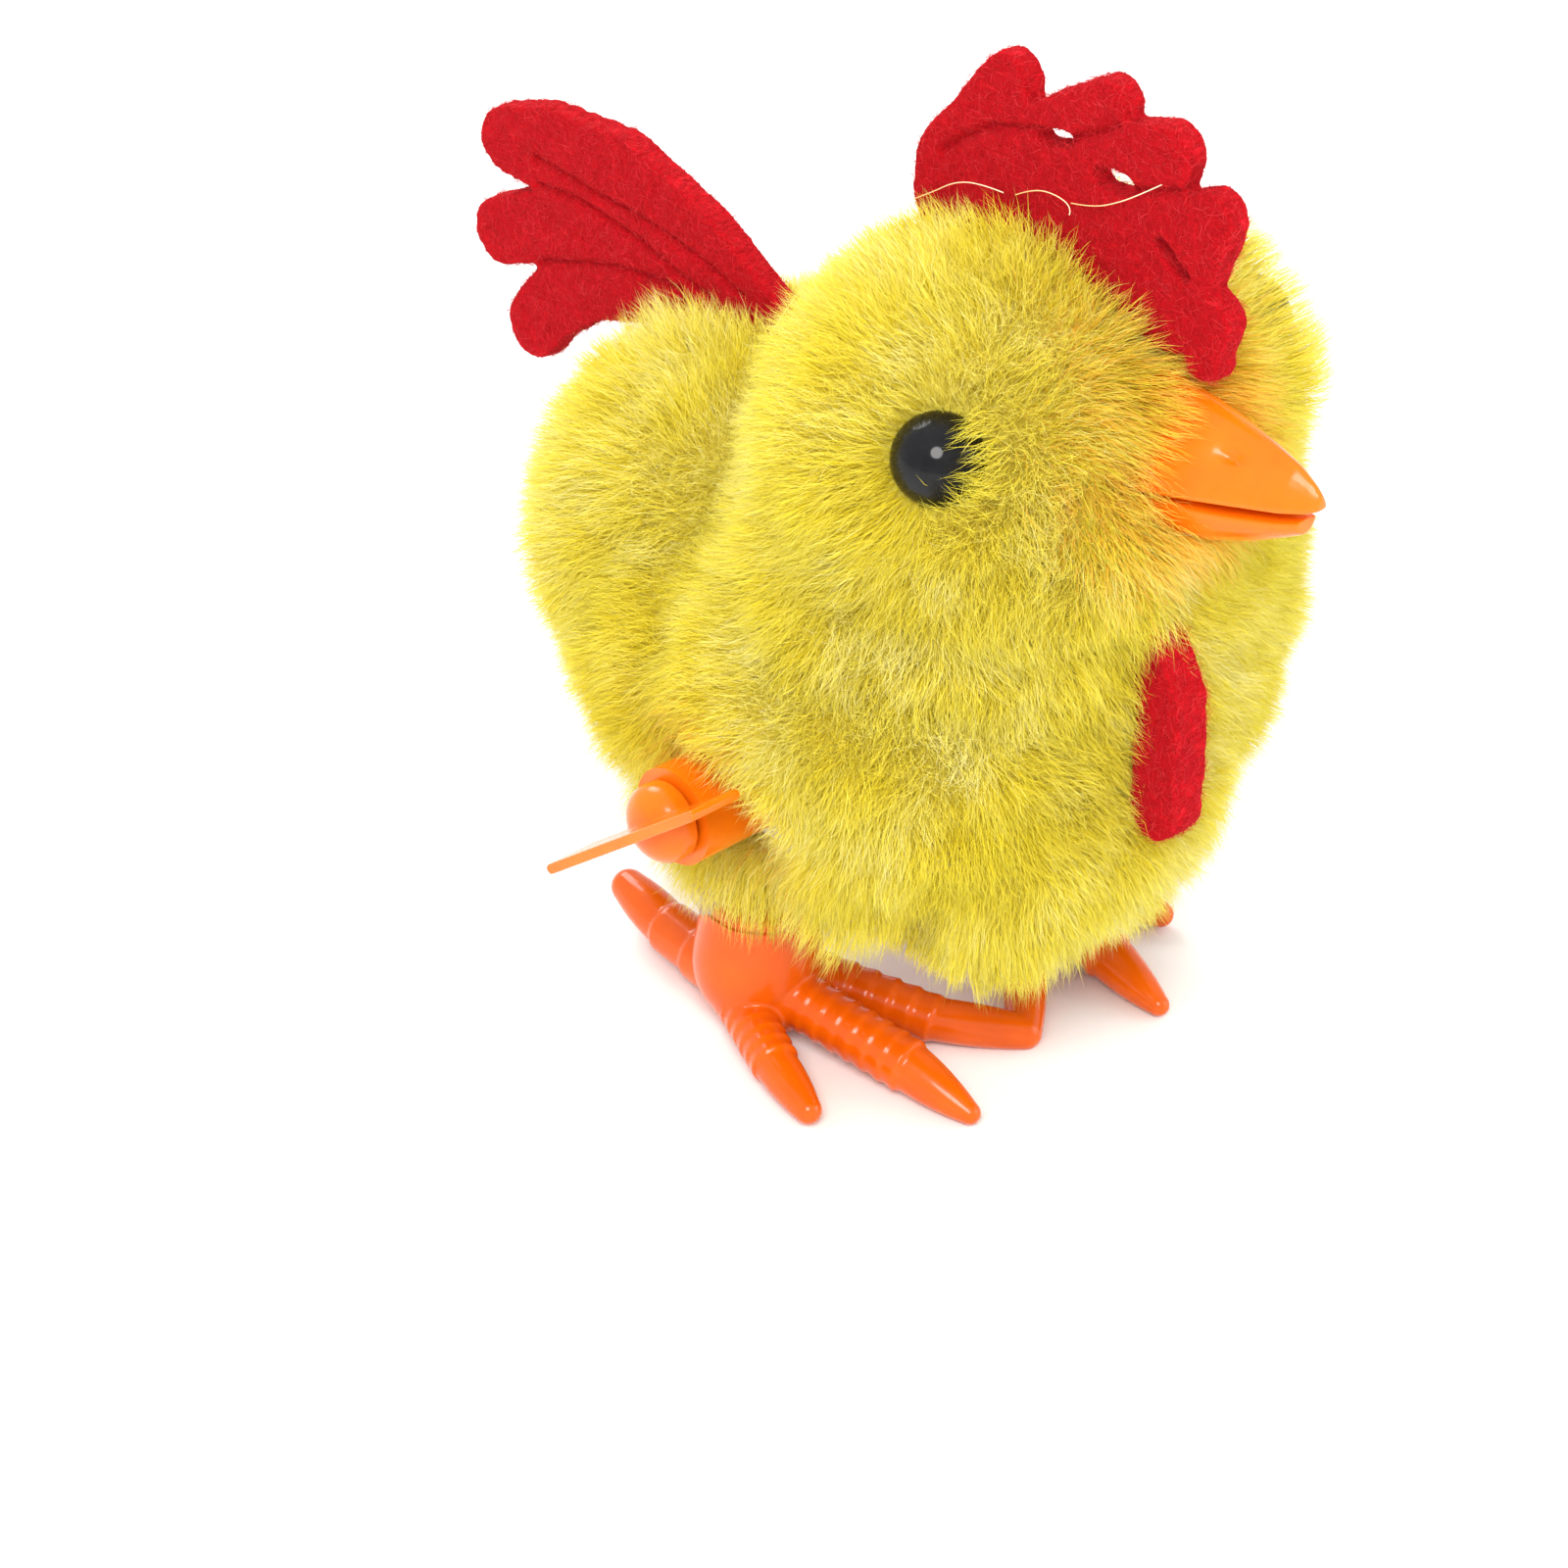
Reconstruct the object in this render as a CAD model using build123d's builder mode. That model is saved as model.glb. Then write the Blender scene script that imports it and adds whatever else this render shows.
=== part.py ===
from build123d import *
from collections import namedtuple
from math import cos, pi, radians, sin
import os

# Wind-up hopping chicken: a plush bird over a clockwork case, with one moulding for both feet.
# Millimetres. +Z is up and the bird looks along -Y, so its right side, with the key, is -X.
# The origin is on the ground, under the point where the two inner toes join.

# ---- Plush cover: five balls, each drawn out sideways ----------------------------------------
Ball = namedtuple("Ball", "y z radius half_width")
breast = Ball(y=9.0, z=36.0, radius=22.6, half_width=30.5)
crop = Ball(y=3.0, z=28.4, radius=16.8, half_width=18.5)
head = Ball(y=4.5, z=57.5, radius=20.8, half_width=25.0)
rump = Ball(y=33.5, z=38.0, radius=20.5, half_width=22.0)
belly = Ball(y=21.0, z=29.0, radius=17.0, half_width=22.0)
plush_thickness = 5.0
glue_radius = 1.5
glue_y = 22.0
glue_z = 15.6
soft_gap = 0.2
hem_height = 12.6

# ---- Felt ------------------------------------------------------------------------------------
felt_thickness = 2.4
wattle_layer = 1.7
wattle_gap = 0.2
wattle_side = -1.6

# ---- Face --------------------------------------------------------------------------------------
eye_radius = 3.75
eye_side = 0.704 * head.half_width
eye_y = head.y - 0.341 * head.radius
eye_z = head.z + 0.361 * head.radius
shank_radius = 0.9
shank_length = 9.0
washer_radius = 3.6
washer_thickness = 1.0
press_gap = 0.02
cut_over = 1.0
beak_root_y = head.y - 0.793 * head.radius
beak_middle_y = beak_root_y - 7.0
beak_tip_y = beak_root_y - 13.6
beak_z = head.z + 5.5
beak_half_width = 6.8
beak_overbite = 1.0
beak_stem_radius = 1.8
beak_stem_length = 12.0
beak_back = 1.0
beak_back_half_width = 5.0
beak_back_half_height = 4.6

# ---- Clockwork -------------------------------------------------------------------------------
tooth_module = 0.5
tooth_tip = 0.85 * tooth_module
tooth_root = 1.15 * tooth_module
tooth_root_flank = 1.25
tooth_pitch_flank = 0.80
tooth_tip_flank = 0.32
tooth_foot = 0.9
main_teeth = 30
second_teeth = 24
crank_teeth = 24
pinion_teeth = 10
escape_pinion_teeth = 8
escape_teeth = 12
escape_radius = 3.0
escape_rim = 0.9
escape_hub_radius = 1.1
escape_tooth = ((-1.1, -0.55), (0.0, 0.1), (0.0, 0.3), (-1.1, 0.3))
gear_width = 1.6
pinion_width = 2.2
running_gap = 0.05
side_gap = 0.4
end_gap = 0.1
wheel_step = 0.6
wheel_space = 1.0
spacer_radius = 1.5
arbor_radius = 1.2
axle_radius = 0.6
crankshaft_radius = 0.8
pin_radius = 0.9
arbor_y = 14.8
arbor_z = 28.4
main_to_second_angle = 155.0
second_to_crank_angle = -92.0
crank_to_escape_angle = -38.0
pallet_distance = 5.9
pallet_angle = -4.0
pallet_clear = 1.1
pallet_spread = 38.0
pallet_hub_radius = 1.5
pallet_arm_radius = 0.9
pallet_tip_radius = 0.45
main_gear_x = -3.6
spring_inner = arbor_radius + 0.6
spring_pitch = 0.95
spring_turns = 5
spring_strip = 0.35
spring_width = 4.2

# ---- Case --------------------------------------------------------------------------------------
case_half_width = 10.5
case_wall = 1.0
case_corner = 2.0
case_joint_gap = 0.02
wheel_room = 0.3
pivot_room = 3.0
floor_room = 0.6
boss_radius = 1.8
screw_radius = 0.8
screw_head_radius = 1.6
screw_head_height = 0.9
screw_end_wall = 2.0
boss_inset = 1.6

# ---- Crank and feet ----------------------------------------------------------------------------
crank_throw = 1.5
crank_disc_radius = 2.6
crank_disc_width = 1.2
crank_pin_radius = 0.7
foot_pivot_y = 25.5
foot_pivot_z = 18.0
hop_angle = 8.2
arm_thickness = 2.0
crank_side_gap = 0.3
arm_side_gap = 0.4
arm_rim = 1.1
arm_eye_radius = 2.8
arm_waist_radius = 3.4
arm_neck_radius = 2.6
window_gap = 0.3
window_corner = 1.5
pin_overhang = 0.5
well_gap = 0.5
well_back_room = 6.5
ankle_x = 14.4
ankle_y = 18.4
ankle_z = 12.0
thigh_gap = 0.8
hub_x = 14.0
hub_y = 15.6
hub_z = 4.2
hub_radius = 3.7
scale_ridge = 0.28
claw_step = 0.35
claw_root = 0.6
claw_swell = 0.55

# ---- Key ---------------------------------------------------------------------------------------
collar_radius = 4.25
collar_bore = 2.0
collar_end = breast.half_width - 2.3
key_cap_radius = 3.4
key_cap_length = 3.3
key_cap_skirt = 1.0
key_blade_length = 22.0
key_blade_width = 5.2
key_blade_thickness = 0.9
key_blade_out = breast.half_width + 3.7
key_blade_tilt = 141.0
key_gap = 0.3
key_socket_depth = 2.0
key_trim = breast.half_width - 2.9
recess_start = breast.half_width - 6.5
recess_side = 0.8
blade_room = 1.2


# ---- Shared shapes -----------------------------------------------------------------------------
def cross_plane(y, z, x=0.0):
    """Plane across the bird, seen from its left: local x is +Y and local y is +Z."""
    return Plane(origin=(x, y, z), x_dir=(0, 1, 0), z_dir=(1, 0, 0))


def front_plane(y, z=0.0):
    """Plane seen from the front: local x is +X and local y is +Z."""
    return Plane(origin=(0, y, z), x_dir=(1, 0, 0), z_dir=(0, -1, 0))


def body_form(inset):
    """The bird's rounded body, drawn in on every side by inset and cut level at the hem."""
    with BuildPart(mode=Mode.PRIVATE) as form:
        for ball in (breast, crop, head, rump, belly):
            with BuildSketch(front_plane(ball.y, ball.z)):
                flat = ball.half_width - ball.radius
                radius = ball.radius - inset
                with BuildLine():
                    CenterArc((flat, 0), radius, 0, 90)
                    Line((flat, radius), (-flat, radius))
                    CenterArc((-flat, 0), radius, 90, 90)
                    Line((-flat - radius, 0), (flat + radius, 0))
                make_face()
            revolve(axis=Axis((0, ball.y, ball.z), (1, 0, 0)))
        split(bisect_by=Plane.XY.offset(hem_height), keep=Keep.TOP)
    return form.part


def rod(y, z, radius, start, end):
    """Round bar along X, from x = start to x = end."""
    with BuildPart(mode=Mode.PRIVATE) as bar:
        with BuildSketch(cross_plane(y, z, start)):
            Circle(radius)
        extrude(amount=end - start)
    return bar.part


def block(low, high):
    """Plain box between two corners."""
    with BuildPart(mode=Mode.PRIVATE) as box:
        with BuildSketch(Plane.XY.offset(low[2])):
            with Locations(((low[0] + high[0]) / 2, (low[1] + high[1]) / 2)):
                Rectangle(high[0] - low[0], high[1] - low[1])
        extrude(amount=high[2] - low[2])
    return box.part


def lobe(start, end, start_radius, end_radius):
    """Flat rounded finger from one round end to the other."""
    with BuildSketch(mode=Mode.PRIVATE) as flat:
        with Locations(start):
            Circle(start_radius)
        with Locations(end):
            Circle(end_radius)
        make_hull()
    return flat.sketch


def chain(points):
    """Flat strip of round-ended stretches; each point is (y, z, radius)."""
    return [lobe(a[:2], b[:2], a[2], b[2]) for a, b in zip(points, points[1:])]


def gear(teeth, place, start, width, phase, bore):
    """Spur gear or pinion about X, with a tooth centred at the phase angle."""
    pitch_radius = teeth * tooth_module / 2
    root_radius = pitch_radius - tooth_root
    tip_radius = pitch_radius + tooth_tip
    half_pitch = pi * tooth_module / 4
    flanks = (
        (tooth_foot * root_radius, tooth_root_flank * half_pitch),
        (pitch_radius, tooth_pitch_flank * half_pitch),
        (tip_radius, tooth_tip_flank * half_pitch),
    )
    tooth = [(reach, -half) for reach, half in flanks] + [(reach, half) for reach, half in reversed(flanks)]
    with BuildPart(mode=Mode.PRIVATE) as wheel:
        with BuildSketch(cross_plane(*place, start)):
            Circle(root_radius)
            with PolarLocations(0, teeth, start_angle=phase):
                Polygon(*tooth, align=None)
            if bore:
                Circle(bore, mode=Mode.SUBTRACT)
        extrude(amount=width)
    return wheel.part


def centre_distance(teeth_a, teeth_b):
    return (teeth_a + teeth_b) * tooth_module / 2


def step_from(place, distance, angle):
    return (place[0] + distance * cos(radians(angle)), place[1] + distance * sin(radians(angle)))


def save(part, name):
    part.label = name
    export_step(part, f"parts/{name}.step")


os.makedirs("parts", exist_ok=True)

# ---- Places worked out from the driving sizes ----------------------------------------------
arbor = (arbor_y, arbor_z)
second = step_from(arbor, centre_distance(main_teeth, pinion_teeth), main_to_second_angle)
crank = step_from(second, centre_distance(second_teeth, pinion_teeth), second_to_crank_angle)
escape_reach = centre_distance(crank_teeth, escape_pinion_teeth)
escape = step_from(crank, escape_reach, crank_to_escape_angle)
pallet_place = step_from(escape, pallet_distance, pallet_angle)
foot_pivot = (foot_pivot_y, foot_pivot_z)
wheel_tip = second_teeth * tooth_module / 2 + tooth_tip
case_front_y = min(second[0], crank[0]) - wheel_tip - wheel_room - case_wall
case_back_y = foot_pivot_y + pivot_room
case_bottom_z = escape[1] - escape_radius - floor_room - case_wall
case_top_z = second[1] + wheel_tip + wheel_room + case_wall
case_inside = case_half_width - case_wall
boss_reach = case_wall + boss_inset
screw_places = (
    (case_front_y + boss_reach, case_bottom_z + boss_reach),
    (case_back_y - boss_reach, case_top_z - boss_reach),
)

crank_disc_start = case_half_width + crank_side_gap
crank_disc_end = crank_disc_start + crank_disc_width
arm_inside = crank_disc_end + arm_side_gap
arm_outside = arm_inside + arm_thickness
pin_end = arm_outside + pin_overhang
well_half_width = pin_end + well_gap
glue_x = -well_half_width - glue_radius

second_gear_x = main_gear_x + pinion_width + wheel_step
crank_gear_x = second_gear_x + pinion_width + wheel_space
escape_wheel_x = crank_gear_x + pinion_width + wheel_space
pinion_lap = (pinion_width - gear_width) / 2
outer_form = body_form(0.0)
lining_form = body_form(plush_thickness)
filling_form = body_form(plush_thickness + soft_gap)

# The well is the clear space in the stuffing and the cover for the case and the foot arms.
well = block(
    (-well_half_width, case_front_y - well_gap, 0.0),
    (well_half_width, foot_pivot_y + well_back_room, case_top_z + well_gap),
)
collar_space = rod(*arbor, collar_radius + soft_gap, -collar_end - cut_over, -case_half_width)

# The key turns in a funnel pressed into the plush round its collar.
blade_sweep = key_blade_length / 2 + blade_room
with BuildPart() as key_space:
    with BuildSketch(front_plane(arbor_y, arbor_z)):
        Polygon(
            (-recess_start, 0),
            (-recess_start, collar_radius + recess_side),
            (-key_trim, blade_sweep),
            (-key_blade_out - cut_over, blade_sweep),
            (-key_blade_out - cut_over, 0),
            align=None,
        )
    revolve(axis=Axis((0, arbor_y, arbor_z), (1, 0, 0)))

# ---- Felt comb, tail and wattle --------------------------------------------------------------
# The comb's places are measured from the top of the head, the tail's from the top of the rump
# and the wattle's from the front of the breast: y, z and radius of each round end.
head_top = (head.y, head.z + head.radius)
rump_top = (rump.y, rump.z + rump.radius)
breast_front = (breast.y - breast.radius, breast.z)
comb_shapes = (
    chain([(9.5, -2.8, 3.2), (2.5, -0.8, 4.5), (-4.5, -0.4, 5.0), (-10.5, -1.2, 4.2), (-14.0, -3.3, 3.2)])
    + chain([(7.5, -0.8, 5.3), (3.7, 9.1, 2.4)])
    + chain([(-2.4, 3.8, 5.6), (-7.1, 11.1, 2.2)])
    + chain([(-8.8, 4.3, 5.8), (-13.7, 9.6, 2.2)])
    + chain([(-14.2, 0.8, 4.4), (-18.1, 5.7, 2.3)])
    + chain([(-14.5, -2.6, 4.0), (-18.4, -2.9, 2.3), (-18.4, -6.2, 1.6)])
)
comb_slits = ((-2.0, 6.6, 4.4, 1.4, -14.0), (-8.4, 5.3, 4.4, 1.8, -5.0), (-14.8, 1.2, 4.2, 1.3, 35.0))
with BuildPart() as comb:
    with BuildSketch(cross_plane(*head_top, -felt_thickness / 2)):
        for shape in comb_shapes:
            add(shape)
        for slit_y, slit_z, slit_length, slit_width, slit_angle in comb_slits:
            with Locations((slit_y, slit_z)):
                SlotOverall(slit_length, slit_width, rotation=slit_angle, mode=Mode.SUBTRACT)
    extrude(amount=felt_thickness)
save(comb.part, "comb")

tail_shapes = (
    chain([(-0.5, -1.9, 2.6), (8.5, 2.4, 3.2), (18.5, 4.3, 4.0), (28.0, 3.4, 4.0), (33.6, 2.2, 3.2)])
    + chain([(1.5, -3.5, 3.4), (12.5, -1.5, 3.4), (22.5, -2.6, 3.5), (30.5, -4.9, 3.3), (34.4, -6.8, 3.1)])
    + chain([(3.5, -4.9, 3.0), (13.5, -4.6, 2.7), (22.6, -7.6, 3.0), (27.9, -11.4, 3.2), (30.1, -14.4, 3.0)])
)
with BuildPart() as tail:
    with BuildSketch(cross_plane(*rump_top, -felt_thickness / 2)):
        for shape in tail_shapes:
            add(shape)
    extrude(amount=felt_thickness)
save(tail.part, "tail")

wattle_route = [(5.0, 12.6, 1.9), (1.6, 10.6, 2.0), (-0.6, 6.6, 2.2), (-1.0, -3.6, 2.3)]
wattle_root = wattle_route[0]
with BuildPart() as wattle:
    for layer_start in (-wattle_layer - wattle_gap / 2, wattle_gap / 2):
        with BuildSketch(cross_plane(*breast_front, wattle_side + layer_start)):
            for shape in chain(wattle_route):
                add(shape)
        extrude(amount=wattle_layer)
    # The strip is folded over at its root, so a bridge joins its two layers there.
    with BuildSketch(cross_plane(*breast_front, wattle_side - wattle_gap)):
        with Locations(wattle_root[:2]):
            Circle(wattle_root[2])
    extrude(amount=2 * wattle_gap)
save(wattle.part, "wattle")

# ---- Beak: two mandibles on one stem ---------------------------------------------------------
Section = namedtuple("Section", "y half_width mouth height")
upper_sections = (
    Section(beak_root_y, beak_half_width, beak_z - 1.0, 7.4),
    Section(beak_middle_y, 4.4, beak_z - 0.2, 5.0),
    Section(beak_tip_y, 0.9, beak_z + 0.4, 1.9),
)
lower_sections = (
    Section(beak_root_y, 5.4, beak_z - 1.4, -4.8),
    Section(beak_middle_y, 3.6, beak_z - 0.7, -3.4),
    Section(beak_tip_y + beak_overbite, 1.1, beak_z - 0.1, -1.6),
)
with BuildPart() as beak:
    for sections in (upper_sections, lower_sections):
        for section in sections:
            with BuildSketch(front_plane(section.y)):
                with BuildLine():
                    right_end = (section.half_width, section.mouth)
                    left_end = (-section.half_width, section.mouth)
                    crown = (0, section.mouth + section.height)
                    Spline(right_end, crown, left_end, tangents=((0, section.height), (0, -section.height)))
                    Line(left_end, right_end)
                make_face()
        loft()
    with BuildSketch(front_plane(beak_root_y)):
        with Locations((0, beak_z)):
            Ellipse(beak_back_half_width, beak_back_half_height)
    extrude(amount=-beak_back)
    with BuildSketch(front_plane(beak_root_y + beak_back)):
        with Locations((0, beak_z)):
            Circle(beak_stem_radius)
    extrude(amount=-beak_stem_length)
save(beak.part, "beak")

beak_washer_y = beak_root_y + beak_stem_length - 2 * washer_thickness
with BuildPart() as beak_washer:
    with BuildSketch(front_plane(beak_washer_y)):
        with Locations((0, beak_z)):
            Circle(washer_radius)
            Circle(beak_stem_radius + press_gap, mode=Mode.SUBTRACT)
    extrude(amount=washer_thickness)
save(beak_washer.part, "beak_washer")


# ---- Eyes: a bead on a shank, held inside by a washer ------------------------------------------
def eye_plane(side):
    """Plane at the bead's centre, facing out from the head; side is -1 or 1."""
    out = Vector(
        side * eye_side / head.half_width**2,
        (eye_y - head.y) / head.radius**2,
        (eye_z - head.z) / head.radius**2,
    )
    return Plane(origin=(side * eye_side, eye_y, eye_z), z_dir=out)


def eye_bead(side):
    plane = eye_plane(side)
    with BuildPart(mode=Mode.PRIVATE) as bead:
        with Locations(plane):
            Sphere(eye_radius)
        with BuildSketch(plane):
            Circle(shank_radius)
        extrude(amount=-shank_length)
    return bead.part


def eye_washer(side):
    with BuildPart(mode=Mode.PRIVATE) as washer:
        with BuildSketch(eye_plane(side).offset(-shank_length + 2 * washer_thickness)):
            Circle(washer_radius)
            Circle(shank_radius + press_gap, mode=Mode.SUBTRACT)
        extrude(amount=-washer_thickness)
    return washer.part


eye_right = eye_bead(-1)
eye_left = eye_bead(1)
eye_washer_right = eye_washer(-1)
eye_washer_left = eye_washer(1)
save(eye_right, "eye_right")
save(eye_left, "eye_left")
save(eye_washer_right, "eye_washer_right")
save(eye_washer_left, "eye_washer_left")

# ---- Bead of glue that holds the hem down beside the right foot --------------------------------
with BuildPart() as glue_bead:
    with Locations((glue_x, glue_y, glue_z)):
        Sphere(glue_radius)
save(glue_bead.part, "glue_bead")

# ---- Plush cover and stuffing ----------------------------------------------------------------
face_pieces = (beak.part, eye_right, eye_left)
felt_pieces = (comb.part, tail.part, wattle.part)
inner_washers = (beak_washer.part, eye_washer_right, eye_washer_left)


def cover_half(keep):
    """One side of the cover, sewn to the other along the bird's middle plane."""
    with BuildPart(mode=Mode.PRIVATE) as half:
        add(outer_form)
        add(lining_form, mode=Mode.SUBTRACT)
        for space in (well, collar_space, key_space.part):
            add(space, mode=Mode.SUBTRACT)
        for piece in face_pieces + felt_pieces + (glue_bead.part,):
            add(piece, mode=Mode.SUBTRACT)
        split(bisect_by=Plane.YZ, keep=keep)
    return half.part


save(cover_half(Keep.BOTTOM), "plush_right")
save(cover_half(Keep.TOP), "plush_left")

with BuildPart() as stuffing:
    add(filling_form)
    for space in (well, collar_space):
        add(space, mode=Mode.SUBTRACT)
    for piece in face_pieces + felt_pieces + inner_washers:
        add(piece, mode=Mode.SUBTRACT)
save(stuffing.part, "stuffing")


# ---- Case --------------------------------------------------------------------------------------
def case_section(inset):
    """Rounded outline of the case, drawn in by inset, as a flat sketch in Y and Z."""
    with BuildSketch(mode=Mode.PRIVATE) as outline:
        with Locations(((case_front_y + case_back_y) / 2, (case_bottom_z + case_top_z) / 2)):
            RectangleRounded(
                case_back_y - case_front_y - 2 * inset,
                case_top_z - case_bottom_z - 2 * inset,
                case_corner - inset / 2,
            )
    return outline.sketch


def case_half(side):
    """One half of the case: side -1 is the bird's right, with the collar, and 1 its left."""
    outside = side * case_half_width
    inside = side * case_inside
    with BuildPart(mode=Mode.PRIVATE) as half:
        with BuildSketch(cross_plane(0, 0, side * case_joint_gap)):
            add(case_section(0.0))
            add(case_section(case_wall), mode=Mode.SUBTRACT)
        extrude(amount=outside - side * case_joint_gap)
        with BuildSketch(cross_plane(0, 0, inside)):
            add(case_section(0.0))
        extrude(amount=outside - inside)
        with BuildSketch(cross_plane(0, 0, side * case_joint_gap)):
            with Locations(*screw_places):
                Circle(boss_radius)
        extrude(amount=outside - side * case_joint_gap)
        for place, radius in (
            (arbor, arbor_radius + running_gap),
            (crank, crankshaft_radius + running_gap),
            (second, axle_radius),
            (escape, axle_radius),
            (pallet_place, axle_radius),
            (foot_pivot, pin_radius),
        ):
            add(rod(*place, radius, -case_half_width - cut_over, case_half_width + cut_over), mode=Mode.SUBTRACT)
        for place in screw_places:
            screw_hole = rod(*place, screw_radius, -case_half_width + screw_end_wall, case_half_width + cut_over)
            add(screw_hole, mode=Mode.SUBTRACT)
    return half.part


save(case_half(-1), "case_right")
save(case_half(1), "case_left")

with BuildPart() as case_screws:
    for place in screw_places:
        add(rod(*place, screw_radius, -case_half_width + screw_end_wall, case_half_width))
        add(rod(*place, screw_head_radius, case_half_width, case_half_width + screw_head_height))
save(case_screws.part, "case_screws")

# ---- Winding key, collar, arbor and main gear --------------------------------------------------
with BuildPart() as key_collar:
    with BuildSketch(cross_plane(*arbor, -collar_end)):
        Circle(collar_radius)
        Circle(collar_bore, mode=Mode.SUBTRACT)
    extrude(amount=collar_end - case_half_width)
save(key_collar.part, "key_collar")

axle_end = case_half_width - end_gap
cap_start = collar_end + key_gap
dome_start = cap_start + key_cap_skirt
arbor_end = cap_start + key_socket_depth
save(rod(*arbor, arbor_radius, -arbor_end, axle_end), "winding_arbor")

with BuildPart() as winding_key:
    with BuildSketch(front_plane(arbor_y, arbor_z)):
        with BuildLine():
            Line((-cap_start, 0), (-cap_start, key_cap_radius))
            Line((-cap_start, key_cap_radius), (-dome_start, key_cap_radius))
            EllipticalCenterArc((-dome_start, 0), key_cap_length - key_cap_skirt, key_cap_radius, 90, arc_size=90)
            Line((-cap_start - key_cap_length, 0), (-cap_start, 0))
        make_face()
    revolve(axis=Axis((0, arbor_y, arbor_z), (1, 0, 0)))
    with BuildSketch(cross_plane(*arbor, -key_blade_out)):
        SlotOverall(key_blade_length, key_blade_thickness, rotation=key_blade_tilt)
    extrude(amount=key_blade_width)
    add(rod(*arbor, arbor_radius, -arbor_end, -cap_start + cut_over), mode=Mode.SUBTRACT)
save(winding_key.part, "winding_key")

with BuildPart() as main_gear:
    add(gear(main_teeth, arbor, main_gear_x, gear_width, main_to_second_angle, arbor_radius))
save(main_gear.part, "main_gear")

# ---- Mainspring: a flat spiral between the arbor and the case ----------------------------------
def spiral_point(turn, extra):
    radius = spring_inner + spring_pitch * turn + extra
    return (radius * cos(2 * pi * turn), radius * sin(2 * pi * turn))


spring_steps = [step / 12 for step in range(12 * spring_turns + 1)]
with BuildPart() as mainspring:
    with BuildSketch(cross_plane(*arbor, -case_inside + side_gap)):
        with BuildLine():
            inner_edge = Spline([spiral_point(turn, 0.0) for turn in spring_steps])
            outer_edge = Spline([spiral_point(turn, spring_strip) for turn in spring_steps])
            Line(inner_edge @ 0, outer_edge @ 0)
            Line(inner_edge @ 1, outer_edge @ 1)
        make_face()
    extrude(amount=spring_width)
save(mainspring.part, "mainspring")

# ---- Second gear, crank gear and escape wheel --------------------------------------------------
half_tooth = 180 / pinion_teeth
second_phase = main_to_second_angle + 180 + half_tooth
with BuildPart() as second_gear:
    add(gear(pinion_teeth, second, main_gear_x - pinion_lap, pinion_width, second_phase, 0))
    add(gear(second_teeth, second, second_gear_x, gear_width, second_to_crank_angle, 0))
    add(rod(*second, spacer_radius, main_gear_x, second_gear_x))
    bore = rod(*second, axle_radius + running_gap, -case_inside, case_inside)
    add(bore, mode=Mode.SUBTRACT)
save(second_gear.part, "second_gear")

crank_phase = second_to_crank_angle + 180 + half_tooth
with BuildPart() as crank_gear:
    add(gear(pinion_teeth, crank, second_gear_x - pinion_lap, pinion_width, crank_phase, 0))
    add(gear(crank_teeth, crank, crank_gear_x, gear_width, crank_to_escape_angle, 0))
    add(rod(*crank, spacer_radius, second_gear_x, crank_gear_x))
    add(rod(*crank, crankshaft_radius, -case_inside, case_inside), mode=Mode.SUBTRACT)
save(crank_gear.part, "crank_gear")

escape_phase = crank_to_escape_angle + 180 + 180 / escape_pinion_teeth
with BuildPart() as escape_wheel:
    add(gear(escape_pinion_teeth, escape, crank_gear_x - pinion_lap, pinion_width, escape_phase, 0))
    add(rod(*escape, escape_hub_radius, crank_gear_x, escape_wheel_x))
    with BuildSketch(cross_plane(*escape, escape_wheel_x)):
        Circle(escape_radius - escape_rim)
        with PolarLocations(0, escape_teeth, start_angle=pallet_angle + 180 / escape_teeth):
            Polygon(*[(escape_radius + inward, side) for inward, side in escape_tooth], align=None)
    extrude(amount=gear_width)
    add(rod(*escape, axle_radius + running_gap, -case_inside, case_inside), mode=Mode.SUBTRACT)
save(escape_wheel.part, "escape_wheel")

# The pallet is a forked lever; its two tips stand each side of the escape wheel's rim.
pallet_tips = [
    step_from(escape, escape_radius + pallet_clear, pallet_angle + turn)
    for turn in (-pallet_spread, pallet_spread)
]
with BuildPart() as pallet:
    with BuildSketch(cross_plane(0, 0, escape_wheel_x)):
        with Locations(pallet_place):
            Circle(pallet_hub_radius)
        for tip in pallet_tips:
            add(lobe(pallet_place, tip, pallet_arm_radius, pallet_tip_radius))
    extrude(amount=gear_width)
    bore = rod(*pallet_place, axle_radius + running_gap, -case_inside, case_inside)
    add(bore, mode=Mode.SUBTRACT)
save(pallet.part, "pallet")

save(rod(*second, axle_radius, -axle_end, axle_end), "second_axle")
save(rod(*escape, axle_radius, -axle_end, axle_end), "escape_axle")
save(rod(*pallet_place, axle_radius, -axle_end, axle_end), "pallet_axle")

# ---- Crankshaft and the crank on each end ------------------------------------------------------
save(rod(*crank, crankshaft_radius, -crank_disc_end, crank_disc_end), "crankshaft")


def crank_disc(side):
    pin = step_from(crank, crank_throw, 90)
    near = min(side * crank_disc_start, side * crank_disc_end)
    far = max(side * crank_disc_start, side * crank_disc_end)
    pin_near = min(side * crank_disc_end, side * arm_outside)
    pin_far = max(side * crank_disc_end, side * arm_outside)
    with BuildPart(mode=Mode.PRIVATE) as disc:
        add(rod(*crank, crank_disc_radius, near, far))
        add(rod(*pin, crank_pin_radius, pin_near, pin_far))
        add(rod(*crank, crankshaft_radius, near, far), mode=Mode.SUBTRACT)
    return disc.part


save(crank_disc(-1), "crank_right")
save(crank_disc(1), "crank_left")

save(rod(*foot_pivot, pin_radius, -pin_end, pin_end), "foot_pivot_pin")

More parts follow.
